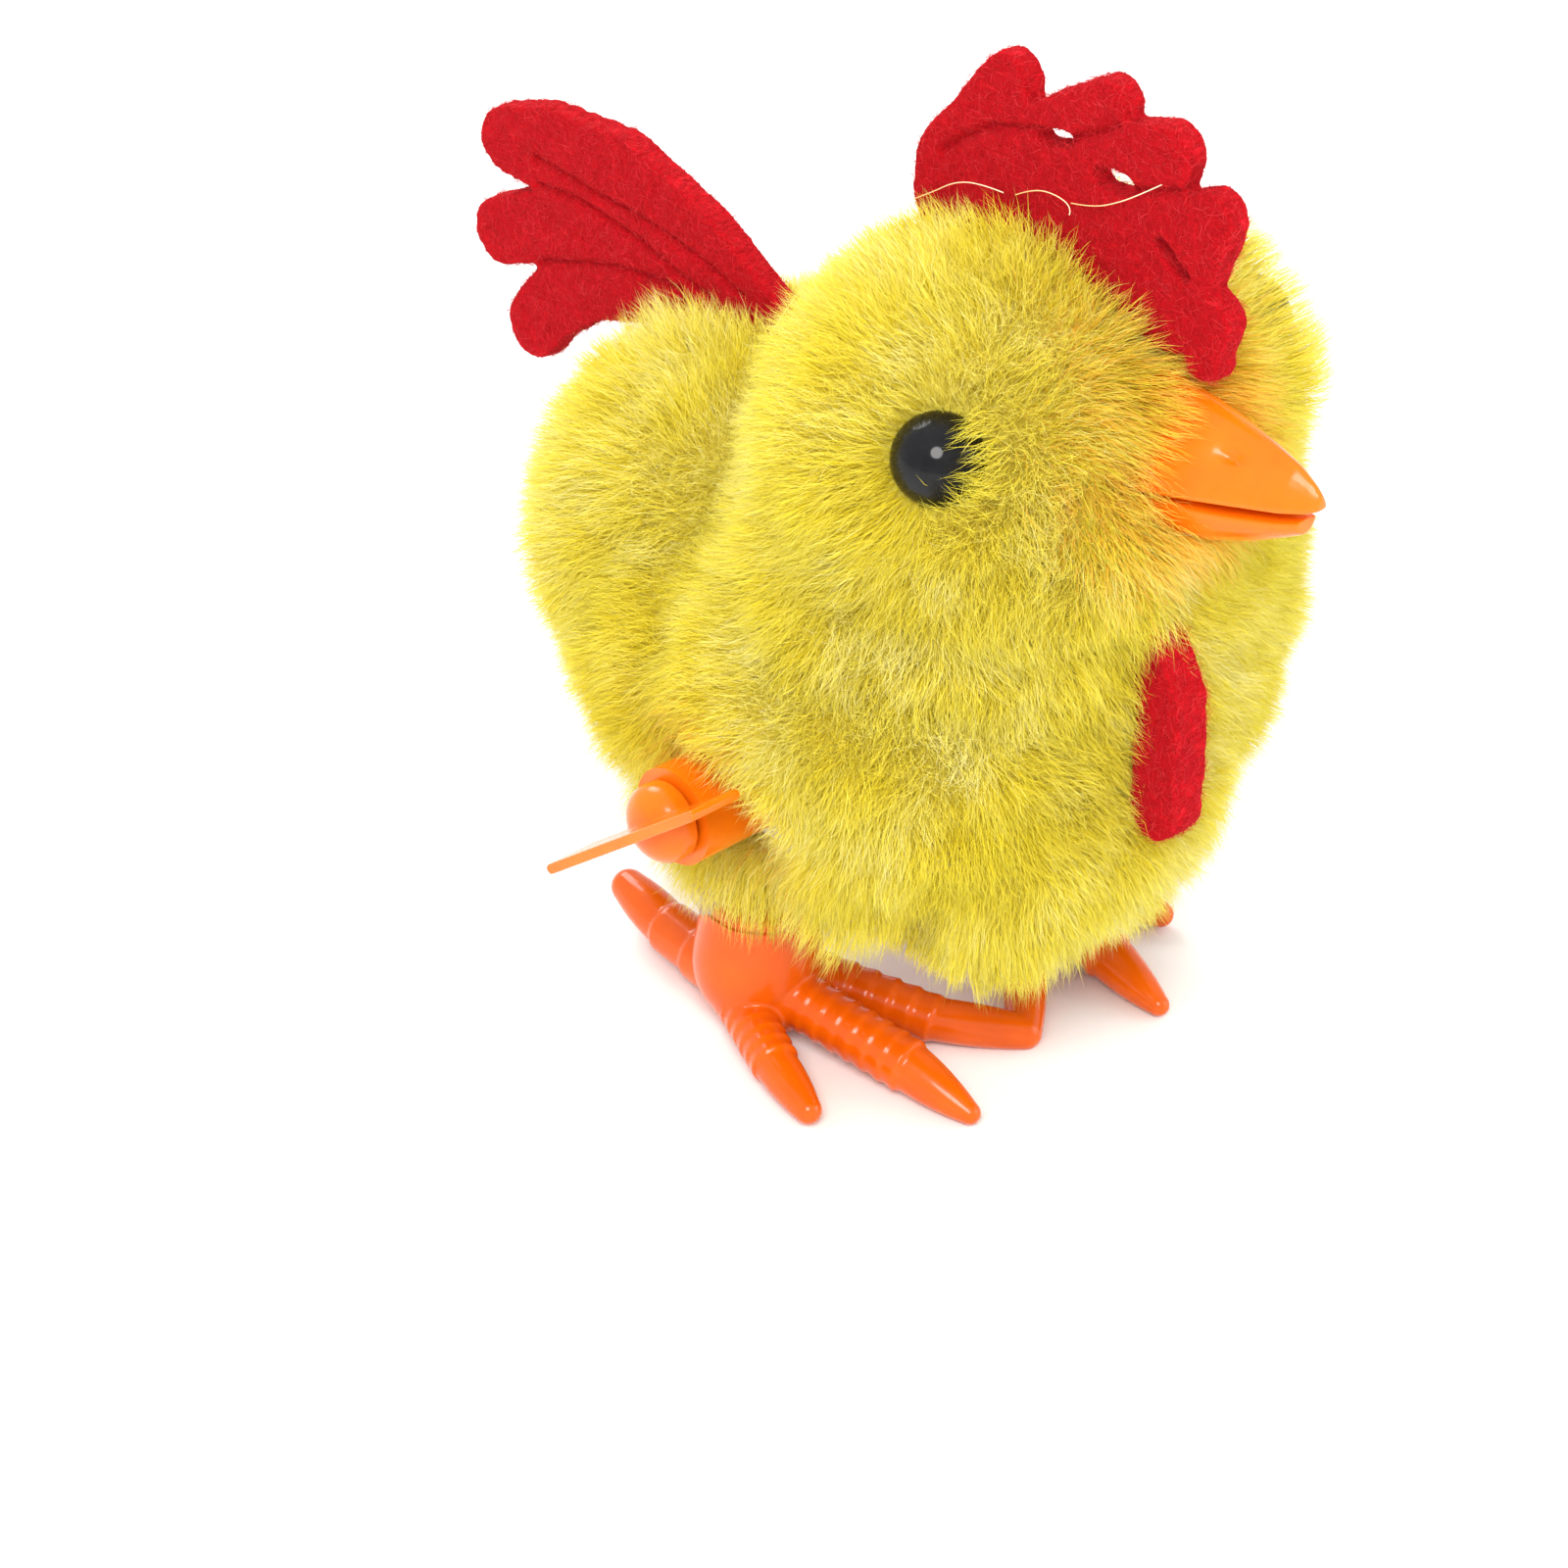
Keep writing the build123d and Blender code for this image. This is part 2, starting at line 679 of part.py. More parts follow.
# ---- Feet: one moulding, with an arm up each side of the case ----------------------------------
Toe = namedtuple("Toe", "root knuckle tip root_radius knuckle_radius tip_radius bands")
right_toes = (
    Toe((-17.2, 17.6, 3.4), (-20.2, 10.0, 2.3), (-21.8, 4.4, 1.4), 2.3, 2.2, 1.2, 6),
    Toe((-14.0, 13.6, 4.2), (-12.3, 2.0, 2.6), (-11.7, -4.6, 1.1), 2.6, 2.5, 1.0, 7),
    Toe((-10.6, 16.0, 4.0), (-5.6, 5.6, 2.4), (0.0, 0.2, 1.2), 2.5, 2.2, 1.5, 6),
    Toe((-14.6, 21.0, 2.9), (-14.0, 30.0, 3.2), (-13.4, 35.8, 4.2), 3.0, 2.4, 1.6, 2),
)


def segment(start, end, start_radius, end_radius, bands):
    """Round toe segment between two points, ringed by overlapping scale bands."""
    along = Vector(*end) - Vector(*start)
    length = along.length
    plane = Plane(origin=start, x_dir=along, z_dir=along.cross(Vector(0, 0, 1)))
    outline = [(0.0, 0.0)]
    for band in range(bands):
        near = band / bands
        far = (band + 1) / bands
        near_radius = start_radius + (end_radius - start_radius) * near
        far_radius = start_radius + (end_radius - start_radius) * far
        outline.append((near * length, near_radius - scale_ridge))
        outline.append((far * length, far_radius))
    outline.append((length, 0.0))
    with BuildPart(mode=Mode.PRIVATE) as toe_segment:
        with BuildSketch(plane):
            with BuildLine():
                Polyline(*outline, close=True)
            make_face()
        revolve(axis=Axis(start, along))
    return toe_segment.part


def claw(start, end, start_radius, end_radius):
    """Smooth tapered toe end with a round tip."""
    along = Vector(*end) - Vector(*start)
    plane = Plane(origin=start, x_dir=along, z_dir=along.cross(Vector(0, 0, 1)))
    swell = (claw_swell * along.length, claw_swell * (start_radius + end_radius))
    with BuildPart(mode=Mode.PRIVATE) as toe_end:
        with BuildSketch(plane):
            with BuildLine():
                Line((-claw_root, 0), (-claw_root, start_radius))
                Spline((-claw_root, start_radius), swell, (along.length, end_radius))
                RadiusArc((along.length, end_radius), (along.length + end_radius, 0), end_radius)
                Line((along.length + end_radius, 0), (-claw_root, 0))
            make_face()
        revolve(axis=Axis(start, along))
    return toe_end.part


def foot(toes):
    """One foot: toes, the hub that they meet in and the thigh above it."""
    thigh_top = case_bottom_z - thigh_gap
    profile = ((3.9, 1.8), (5.6, 5.4), (5.3, 9.4), (4.6, thigh_top))
    with BuildPart(mode=Mode.PRIVATE) as whole:
        with BuildSketch(Plane(origin=(-ankle_x, ankle_y, 0), x_dir=(1, 0, 0), z_dir=(0, -1, 0))):
            with BuildLine():
                Spline(*profile)
                Polyline(profile[-1], (0, profile[-1][1]), (0, profile[0][1]), profile[0])
            make_face()
        revolve(axis=Axis((-ankle_x, ankle_y, 0), (0, 0, 1)))
        with Locations((-hub_x, hub_y, hub_z)):
            Sphere(hub_radius)
        for toe in toes:
            add(segment(toe.root, toe.knuckle, toe.root_radius, toe.knuckle_radius, toe.bands))
            add(claw(toe.knuckle, toe.tip, toe.knuckle_radius - claw_step, toe.tip_radius))
            with Locations(toe.root):
                Sphere(toe.root_radius)
        split(bisect_by=Plane.XY, keep=Keep.TOP)
    return whole.part


arm_turn = radians(hop_angle)
reach_y = foot_pivot_y - crank[0]
reach_z = crank[1] - foot_pivot_z
orbit = crank_throw + crank_pin_radius + window_gap
window_low = (crank[0] - orbit, crank[1] - orbit)
window_high = (crank[0] + orbit + arm_turn * reach_z, crank[1] + orbit + arm_turn * reach_y)


def foot_arm():
    """Side arm: pivot eye at the back, ankle below, and a window round the crank pin."""
    ankle = (ankle_y, ankle_z)
    with BuildPart(mode=Mode.PRIVATE) as arm:
        with BuildSketch(cross_plane(0, 0, -arm_outside)):
            add(lobe(foot_pivot, ankle, arm_eye_radius, arm_waist_radius))
            add(lobe(ankle, (crank[0], window_low[1]), arm_waist_radius, arm_neck_radius))
            with Locations(((window_low[0] + window_high[0]) / 2, (window_low[1] + window_high[1]) / 2)):
                RectangleRounded(
                    window_high[0] - window_low[0] + 2 * arm_rim,
                    window_high[1] - window_low[1] + 2 * arm_rim,
                    window_corner,
                )
                Rectangle(
                    window_high[0] - window_low[0],
                    window_high[1] - window_low[1],
                    mode=Mode.SUBTRACT,
                )
            with Locations(foot_pivot):
                Circle(pin_radius + running_gap, mode=Mode.SUBTRACT)
        extrude(amount=arm_thickness)
    return arm.part


with BuildPart() as feet:
    add(foot(right_toes))
    add(foot_arm())
    mirror(about=Plane.YZ)
save(feet.part, "feet")
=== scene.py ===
import math

import bmesh
import bpy
import numpy as np
from mathutils import Matrix, Vector


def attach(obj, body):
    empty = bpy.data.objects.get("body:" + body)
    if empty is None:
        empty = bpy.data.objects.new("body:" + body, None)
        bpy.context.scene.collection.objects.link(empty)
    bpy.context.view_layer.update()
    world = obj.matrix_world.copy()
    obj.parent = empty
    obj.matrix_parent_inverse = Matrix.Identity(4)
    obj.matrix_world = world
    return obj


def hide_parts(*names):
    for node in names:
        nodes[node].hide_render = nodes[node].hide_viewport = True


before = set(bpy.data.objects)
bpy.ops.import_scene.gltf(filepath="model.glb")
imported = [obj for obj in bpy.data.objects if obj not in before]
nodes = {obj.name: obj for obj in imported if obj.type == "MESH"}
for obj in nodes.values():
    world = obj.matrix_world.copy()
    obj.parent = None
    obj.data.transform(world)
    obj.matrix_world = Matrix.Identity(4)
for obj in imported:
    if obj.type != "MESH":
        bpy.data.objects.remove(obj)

# Wind-up hopping chicken: what the plush, felt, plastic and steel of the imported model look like.
# Lengths below are in millimetres, and MM turns them into Blender's metres.
MM = 0.001
rng = np.random.default_rng(7)
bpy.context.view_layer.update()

# ---- Camera ------------------------------------------------------------------------------------
CAMERA_AZIMUTH = -45.0
CAMERA_ELEVATION = 33.0
CAMERA_ROLL = 2.0
CAMERA_DISTANCE = 420.0
CAMERA_TARGET = (-8.9, 21.5, 20.0)
CAMERA_LENS = 113.4
SENSOR_WIDTH = 36.0

# ---- Lights: name, place in metres, watts, size in metres, colour ------------------------------
LIGHTS = (
    ("key_light", (-0.42, -0.30, 0.55), 4.4, 0.34, (1.0, 0.98, 0.95)),
    ("fill_light", (0.45, -0.55, 0.30), 1.7, 0.50, (1.0, 1.0, 1.0)),
    ("back_light", (0.10, 0.55, 0.50), 2.4, 0.35, (1.0, 1.0, 1.0)),
)
LIT_POINT = (0.0, 0.012, 0.045)
WORLD_STRENGTH = 1.05
FLOOR_HALF_WIDTH = 1.6

# ---- Plush: centre and half sizes in X, Y and Z of each round form, out to the pile's tips -----
FORMS = (
    ((0.0, 9.6, 35.8), (28.6, 23.0, 23.2)),
    ((3.6, 8.2, 39.0), (29.6, 20.2, 33.0)),
    ((0.0, 4.5, 57.5), (25.0, 20.8, 20.8)),
    ((0.0, 7.0, 46.5), (26.0, 21.0, 21.0)),
    ((0.0, 33.5, 38.0), (22.0, 20.5, 20.5)),
    ((0.0, 20.0, 25.5), (24.0, 17.5, 16.5)),
    ((0.0, 25.5, 32.8), (25.2, 19.4, 19.2)),
    ((0.0, 3.0, 28.0), (20.0, 17.2, 17.4)),
)
PILE_DEPTH = 3.3
PILE_LENGTH = 4.7
LEAST_LENGTH = 1.2
GREATEST_LENGTH = 7.2
PILE_WIDTH = 0.088
PILE_CRIMP = 0.16
STRANDS = 215000
STRANDS_IN_PIECE = 12500
PLAIN_TONE = 0.44       # tones up to LIGHTEST_TONE are yellow, and those from WARM_TONE on are orange
LIGHTEST_TONE = 0.80
WARM_TONE = 0.88

# Opening of the cloth at the hem, round the case and the foot arms
HEM_HEIGHT = 11.4
HEM_DROP = 0.30
HEM_DROP_TOP = 23.0
HANG_TOP = 19.0
WELL_HALF_WIDTH = 15.4
WELL_FRONT = -2.6
WELL_BACK = 32.0
WELL_TOP = 25.0

# Band of short pile over the foot of the case
FRINGE_HALF_WIDTH = 10.8
FRINGE_FRONT = -2.6
FRINGE_SIDE = 9.5
FRINGE_FOOT = 14.4
FRINGE_HEIGHT = 6.0

# Hard pieces that the plush makes room for; axes along X are (y, z)
EYE = (17.6, -2.6, 65.0)
EYE_BARE = 3.4
EYE_SURROUND = 7.2
BEAK_ROOT = (4.9, 4.5)
BEAK_HEIGHT = 62.8
BEAK_MIDDLE = (0.0, -16.0, 63.0)
KEY_AXIS = (14.8, 28.4)
COLLAR_RADIUS = 4.25
BLADE_REACH = 12.4
BLADE_X = -28.4
FUNNEL_FLOOR = 20.0
FUNNEL_DEPTH = 12.0
FUNNEL_WIDTH = 8.0
THIGH = (14.4, 18.4)

# Where the comb, the tail and the wattle meet the cloth
FELT_HALF_WIDTH = 1.3
COMB_FOOT = 66.0
COMB_BACK = 18.0
TAIL_FOOT = 50.0
TAIL_FRONT = 30.0
WATTLE_HALF_WIDTH = 2.8
WATTLE_FOOT = 29.0
WATTLE_TOP = 42.0


# ---- Small tools -------------------------------------------------------------------------------
def link(obj):
    bpy.context.scene.collection.objects.link(obj)
    return obj


def node_copy(name, *sources):
    """One new object with the joined meshes of CAD nodes."""
    joined = bmesh.new()
    for source in sources:
        joined.from_mesh(nodes[source].data)
    mesh = bpy.data.meshes.new(name)
    joined.to_mesh(mesh)
    joined.free()
    return link(bpy.data.objects.new(name, mesh))


def apply_modifiers(obj):
    """Replaces the object's mesh by what its modifiers make of it."""
    graph = bpy.context.evaluated_depsgraph_get()
    made = bpy.data.meshes.new_from_object(obj.evaluated_get(graph))
    obj.modifiers.clear()
    obj.data = made
    return obj


def remesh(obj, voxel):
    """Rebuilds the surface with a grid of voxel millimetres, which joins the solids that overlap."""
    modifier = obj.modifiers.new("remesh", "REMESH")
    modifier.mode = "VOXEL"
    modifier.voxel_size = voxel * MM
    return apply_modifiers(obj)


def smooth(obj, factor, rounds):
    modifier = obj.modifiers.new("smooth", "SMOOTH")
    modifier.factor = factor
    modifier.iterations = rounds
    return apply_modifiers(obj)


def shade_smooth(obj):
    obj.data.polygons.foreach_set("use_smooth", np.ones(len(obj.data.polygons), bool))
    return obj


def vertex_array(obj):
    """Vertex places in millimetres and vertex normals."""
    count = len(obj.data.vertices)
    places = np.empty(count * 3)
    normals = np.empty(count * 3)
    obj.data.vertices.foreach_get("co", places)
    obj.data.vertices.foreach_get("normal", normals)
    return places.reshape(-1, 3) / MM, normals.reshape(-1, 3)


def put_vertices(obj, places):
    """Moves the vertices to places in millimetres."""
    obj.data.vertices.foreach_set("co", (places * MM).ravel())
    obj.data.update()


def unit(vectors):
    return vectors / np.maximum(np.linalg.norm(vectors, axis=-1, keepdims=True), 1e-9)


LATTICE_CELLS = 24
LATTICE = rng.random((LATTICE_CELLS, LATTICE_CELLS, LATTICE_CELLS, 3)) * 2 - 1


def noise(places, wavelength, shift=0.0):
    """Smooth three-part noise from -1 to 1 at places in millimetres."""
    cell = places / wavelength + 100 + shift
    low = np.floor(cell).astype(int)
    part = cell - low
    part = part * part * (3 - 2 * part)
    total = np.zeros((len(places), 3))
    for corner in range(8):
        step = np.array([corner & 1, corner >> 1 & 1, corner >> 2 & 1])
        weight = np.prod(np.where(step == 1, part, 1 - part), axis=1)
        index = (low + step) % LATTICE_CELLS
        total += weight[:, None] * LATTICE[index[:, 0], index[:, 1], index[:, 2]]
    return total


# ---- Materials ---------------------------------------------------------------------------------
def new_material(name):
    material = bpy.data.materials.new(name)
    material.use_nodes = True
    tree = material.node_tree
    return material, tree, tree.nodes["Principled BSDF"]


def add_node(tree, kind, **inputs):
    node = tree.nodes.new(kind)
    for key, value in inputs.items():
        node.inputs[key.replace("_", " ")].default_value = value
    return node


def ramp(tree, source, stops):
    """Colour ramp on a value; stops are (position, (r, g, b))."""
    node = tree.nodes.new("ShaderNodeValToRGB")
    elements = node.color_ramp.elements
    while len(elements) < len(stops):
        elements.new(0.5)
    for element, (position, colour) in zip(elements, stops):
        element.position = position
        element.color = (*colour, 1.0)
    tree.links.new(source, node.inputs["Fac"])
    return node.outputs["Color"]


def noise_value(tree, scale, detail=4.0, roughness=0.6):
    """Noise in the object's own space; scale is in waves per metre."""
    place = tree.nodes.new("ShaderNodeTexCoord")
    node = add_node(tree, "ShaderNodeTexNoise", Scale=scale, Detail=detail, Roughness=roughness)
    tree.links.new(place.outputs["Object"], node.inputs["Vector"])
    return node.outputs["Fac"]


def bump(tree, shader, height, strength, distance):
    """Raised surface; distance is the height of the bumps in millimetres."""
    node = add_node(tree, "ShaderNodeBump", Strength=strength, Distance=distance * MM)
    tree.links.new(height, node.inputs["Height"])
    tree.links.new(node.outputs["Normal"], shader.inputs["Normal"])


def plastic(name, dark, light, roughness, coat, depth):
    """Moulded glossy plastic: faint flow marks in colour, gloss and surface."""
    material, tree, shader = new_material(name)
    flow = noise_value(tree, 160.0, 3.0, 0.5)
    tree.links.new(ramp(tree, flow, ((0.3, dark), (0.7, light))), shader.inputs["Base Color"])
    fine = noise_value(tree, 900.0, 2.0, 0.5)
    gloss = tree.nodes.new("ShaderNodeMapRange")
    gloss.inputs["To Min"].default_value = roughness * 0.8
    gloss.inputs["To Max"].default_value = roughness * 1.3
    tree.links.new(fine, gloss.inputs["Value"])
    tree.links.new(gloss.outputs["Result"], shader.inputs["Roughness"])
    bump(tree, shader, flow, 0.25, 0.12)
    shader.inputs["Specular IOR Level"].default_value = 0.22
    shader.inputs["Coat Weight"].default_value = coat
    shader.inputs["Coat Roughness"].default_value = 0.08
    shader.inputs["Subsurface Weight"].default_value = depth
    shader.inputs["Subsurface Radius"].default_value = (1.0, 0.35, 0.08)
    shader.inputs["Subsurface Scale"].default_value = 0.8 * MM
    return material


def felt_material():
    """Needle felt: matted fibres that cross at every angle."""
    material, tree, shader = new_material("felt")
    place = tree.nodes.new("ShaderNodeTexCoord")
    heights = []
    for stretch, scale in (((1, 6, 1), 900.0), ((1, 1, 7), 800.0), ((1, 3, 4), 1500.0)):
        mapping = tree.nodes.new("ShaderNodeMapping")
        mapping.inputs["Scale"].default_value = stretch
        mapping.inputs["Rotation"].default_value = (0.6 * stretch[1], 0.3, 0.2)
        tree.links.new(place.outputs["Object"], mapping.inputs["Vector"])
        fibres = add_node(
            tree, "ShaderNodeTexNoise", Scale=scale, Detail=5.0, Roughness=0.7, Distortion=0.8,
        )
        tree.links.new(mapping.outputs["Vector"], fibres.inputs["Vector"])
        heights.append(fibres.outputs["Fac"])
    together = heights[0]
    for height in heights[1:]:
        blend = tree.nodes.new("ShaderNodeMath")
        blend.operation = "MAXIMUM"
        tree.links.new(together, blend.inputs[0])
        tree.links.new(height, blend.inputs[1])
        together = blend.outputs["Value"]
    stops = ((0.42, (0.30, 0.002, 0.004)), (0.58, (0.54, 0.004, 0.010)), (0.78, (0.72, 0.022, 0.032)))
    tree.links.new(ramp(tree, together, stops), shader.inputs["Base Color"])
    bump(tree, shader, together, 0.9, 0.35)
    shader.inputs["Roughness"].default_value = 0.95
    shader.inputs["Sheen Weight"].default_value = 0.06
    shader.inputs["Sheen Roughness"].default_value = 0.5
    shader.inputs["Sheen Tint"].default_value = (1.0, 0.25, 0.30, 1.0)
    shader.inputs["Specular IOR Level"].default_value = 0.06
    return material


def strand_map(tree):
    """The strands' own map: tone in X, and the way from root to tip in Y."""
    uv = tree.nodes.new("ShaderNodeUVMap")
    uv.uv_map = "OFBake"
    split = tree.nodes.new("ShaderNodeSeparateXYZ")
    tree.links.new(uv.outputs["UV"], split.inputs["Vector"])
    return split.outputs


def fibre_material(name, dark, light):
    """Loose fibre whose colour runs from dark to light with the strand's tone."""
    material, tree, shader = new_material(name)
    tone = ramp(tree, strand_map(tree)["X"], ((0.0, dark), (1.0, light)))
    tree.links.new(tone, shader.inputs["Base Color"])
    shader.inputs["Roughness"].default_value = 0.8
    shader.inputs["Specular IOR Level"].default_value = 0.10
    return material


def pile_material():
    """Plush pile: each strand's tone, multiplied by a colour that changes from root to tip: a deeper
    yellow at the root is painted shade for the gaps between the strands, and it grows paler towards the
    tip.
    """
    material, tree, shader = new_material("plush_pile")
    strand = strand_map(tree)
    tone = ramp(tree, strand["X"], (
        (0.00, (0.84, 0.690, 0.020)),
        (0.30, (0.91, 0.770, 0.050)),
        (0.60, (0.95, 0.835, 0.150)),
        (0.80, (0.98, 0.910, 0.420)),
        (0.90, (1.00, 0.640, 0.080)),
        (1.00, (1.00, 0.520, 0.050)),
    ))
    # Painted shade: the roots are a deeper, more saturated yellow, the colour the gaps between the
    # strands have in shade; the tips are paler.
    along = ramp(tree, strand["Y"], (
        (0.00, (0.96, 0.91, 0.20)),
        (0.50, (0.99, 0.97, 0.55)),
        (1.00, (0.98, 1.00, 1.30)),
    ))
    mix = tree.nodes.new("ShaderNodeMix")
    mix.data_type = "RGBA"
    mix.blend_type = "MULTIPLY"
    mix.inputs["Factor"].default_value = 1.0
    tree.links.new(tone, mix.inputs["A"])
    tree.links.new(along, mix.inputs["B"])
    tree.links.new(mix.outputs["Result"], shader.inputs["Base Color"])
    shader.inputs["Roughness"].default_value = 0.55
    shader.inputs["Sheen Weight"].default_value = 0.30
    shader.inputs["Sheen Roughness"].default_value = 0.4
    shader.inputs["Sheen Tint"].default_value = (1.0, 0.96, 0.40, 1.0)
    shader.inputs["Specular IOR Level"].default_value = 0.25
    return material


def cloth_material():
    """Knitted backing under the pile."""
    material, tree, shader = new_material("plush_backing")
    fuzz = noise_value(tree, 2200.0, 6.0, 0.75)
    stops = ((0.35, (0.84, 0.68, 0.02)), (0.65, (0.95, 0.82, 0.05)))
    tree.links.new(ramp(tree, fuzz, stops), shader.inputs["Base Color"])
    bump(tree, shader, fuzz, 1.0, 0.5)
    shader.inputs["Roughness"].default_value = 0.9
    shader.inputs["Sheen Weight"].default_value = 0.3
    return material


def wadding_material():
    """White fibre filling in wisps."""
    material, tree, shader = new_material("wadding")
    wisps = noise_value(tree, 1400.0, 8.0, 0.8)
    stops = ((0.3, (0.66, 0.66, 0.63)), (0.7, (0.93, 0.93, 0.91)))
    tree.links.new(ramp(tree, wisps, stops), shader.inputs["Base Color"])
    bump(tree, shader, wisps, 1.0, 0.6)
    shader.inputs["Roughness"].default_value = 0.95
    return material


def steel_material():
    """Drawn steel: fine lines along X and a little uneven gloss."""
    material, tree, shader = new_material("drawn_steel")
    place = tree.nodes.new("ShaderNodeTexCoord")
    mapping = tree.nodes.new("ShaderNodeMapping")
    mapping.inputs["Scale"].default_value = (0.06, 1.0, 1.0)
    tree.links.new(place.outputs["Object"], mapping.inputs["Vector"])
    lines = add_node(tree, "ShaderNodeTexNoise", Scale=5200.0, Detail=3.0)
    tree.links.new(mapping.outputs["Vector"], lines.inputs["Vector"])
    stops = ((0.3, (0.42, 0.42, 0.44)), (0.7, (0.66, 0.66, 0.68)))
    tree.links.new(ramp(tree, lines.outputs["Fac"], stops), shader.inputs["Base Color"])
    bump(tree, shader, lines.outputs["Fac"], 0.2, 0.03)
    shader.inputs["Metallic"].default_value = 1.0
    shader.inputs["Roughness"].default_value = 0.32
    return material


def eye_material():
    """Polished black bead with faint wipe marks."""
    material, tree, shader = new_material("eye_bead")
    wipe = noise_value(tree, 500.0, 3.0, 0.6)
    stops = ((0.3, (0.004, 0.004, 0.005)), (0.7, (0.010, 0.010, 0.012)))
    tree.links.new(ramp(tree, wipe, stops), shader.inputs["Base Color"])
    bump(tree, shader, wipe, 0.03, 0.02)
    shader.inputs["Roughness"].default_value = 0.10
    shader.inputs["Specular IOR Level"].default_value = 0.20
    shader.inputs["Coat Weight"].default_value = 0.06
    shader.inputs["Coat Roughness"].default_value = 0.03
    return material


def glue_material():
    """Hot-melt glue, clear with a little cloud in it."""
    material, tree, shader = new_material("clear_glue")
    cloud = noise_value(tree, 700.0, 4.0, 0.6)
    stops = ((0.3, (0.80, 0.74, 0.62)), (0.7, (0.96, 0.93, 0.88)))
    tree.links.new(ramp(tree, cloud, stops), shader.inputs["Base Color"])
    bump(tree, shader, cloud, 0.3, 0.2)
    shader.inputs["Roughness"].default_value = 0.18
    shader.inputs["Transmission Weight"].default_value = 0.75
    shader.inputs["IOR"].default_value = 1.48
    return material


MATERIALS = {
    "plush_pile": pile_material(),
    "plush_backing": cloth_material(),
    "wadding": wadding_material(),
    "felt": felt_material(),
    "felt_fibre": fibre_material("felt_fibre", (0.50, 0.004, 0.010), (0.80, 0.050, 0.060)),
    "thread": fibre_material("thread", (0.90, 0.55, 0.22), (0.98, 0.86, 0.62)),
    "feet": plastic("deep_orange_plastic", (0.60, 0.078, 0.001), (0.72, 0.108, 0.001), 0.20, 0.20, 0.10),
    "orange": plastic("orange_plastic", (0.74, 0.135, 0.002), (0.84, 0.175, 0.003), 0.22, 0.16, 0.20),
    "beak": plastic("beak_plastic", (0.78, 0.150, 0.002), (0.86, 0.185, 0.004), 0.22, 0.18, 0.20),
    "white": plastic("white_plastic", (0.76, 0.76, 0.73), (0.86, 0.86, 0.83), 0.38, 0.1, 0.10),
    "steel": steel_material(),
    "eye": eye_material(),
    "glue": glue_material(),
}


def finish_piece(obj, material, body, slot, *stands_for):
    """Gives a new piece its material and its body, and hides the CAD nodes that it stands for."""
    obj.data.materials.clear()
    obj.data.materials.append(MATERIALS[material])
    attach(obj, body)
    if stands_for:
        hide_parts(*stands_for)
    return obj


def paint_node(name, material):
    """Gives a CAD node that keeps its own mesh its material."""
    obj = nodes[name]
    if not obj.material_slots:
        obj.data.materials.append(None)
    for slot in obj.material_slots:
        slot.material = MATERIALS[material]


# ---- Plush skin --------------------------------------------------------------------------------
def form_mesh(builder, centre, half_sizes):
    """Adds one rounded form, drawn in by the pile's depth."""
    made = bmesh.ops.create_uvsphere(builder, u_segments=48, v_segments=32, radius=1.0)
    scale = Matrix.Diagonal([(size - PILE_DEPTH) * MM for size in half_sizes] + [1.0])
    place = Matrix.Translation(Vector(centre) * MM)
    bmesh.ops.transform(builder, matrix=place @ scale, verts=made["verts"])


def from_key(places):
    """Distance from the key's axis."""
    return np.hypot(places[:, 1] - KEY_AXIS[0], places[:, 2] - KEY_AXIS[1])


def below_key(places):
    """From 0 behind and above the key's collar to 1 in front of it and below it."""
    back, up = places[:, 1] - KEY_AXIS[0], places[:, 2] - KEY_AXIS[1]
    return np.clip(0.5 - (0.35 * back + 0.75 * up) / np.maximum(np.hypot(back, up), 0.1), 0, 1)


def let_down_hem(places):
    """The cloth is drawn down on each side, over the corners of the case and the thighs."""
    wide = np.clip((np.abs(places[:, 0]) - 2.0) / 7.0, 0, 1)
    places[:, 2] -= HEM_DROP * np.maximum(HEM_DROP_TOP - places[:, 2], 0) * wide
    return places


def press_in_round_key(places):
    """The plush is drawn in to the key's collar, in a funnel on the bird's right side."""
    below = below_key(places)
    part = np.clip((from_key(places) - 4.0 - 1.5 * below) / FUNNEL_WIDTH, 0, 1)
    limit = FUNNEL_FLOOR - 5.0 * below + FUNNEL_DEPTH * part * part * (3 - 2 * part)
    over = np.where(places[:, 0] < 0, np.maximum(-places[:, 0] - limit, 0), 0)
    places[:, 0] += over
    return places


def make_skin():
    """Backing cloth under the pile: the round forms run together, still closed at the hem."""
    builder = bmesh.new()
    for centre, half_sizes in FORMS:
        form_mesh(builder, centre, half_sizes)
    mesh = bpy.data.meshes.new("plush_skin")
    builder.to_mesh(mesh)
    builder.free()
    skin = link(bpy.data.objects.new("plush_skin", mesh))
    remesh(skin, 0.8)
    smooth(skin, 0.5, 14)
    places, normals = vertex_array(skin)
    lumps = noise(places, 9.0)[:, :1] * 0.55 + noise(places, 4.0, 7.3)[:, :1] * 0.25
    put_vertices(skin, press_in_round_key(let_down_hem(places + normals * lumps)))
    return smooth(skin, 0.5, 6)


def inside_well(places, spare=0.0):
    """True below the hem, and under the bird where the cloth is open round the case and arms."""
    within = (
        (np.abs(places[:, 0]) < WELL_HALF_WIDTH + spare)
        & (places[:, 1] > WELL_FRONT - spare)
        & (places[:, 1] < WELL_BACK + spare)
        & (places[:, 2] < WELL_TOP)
    )
    return within | (places[:, 2] < HEM_HEIGHT + spare)


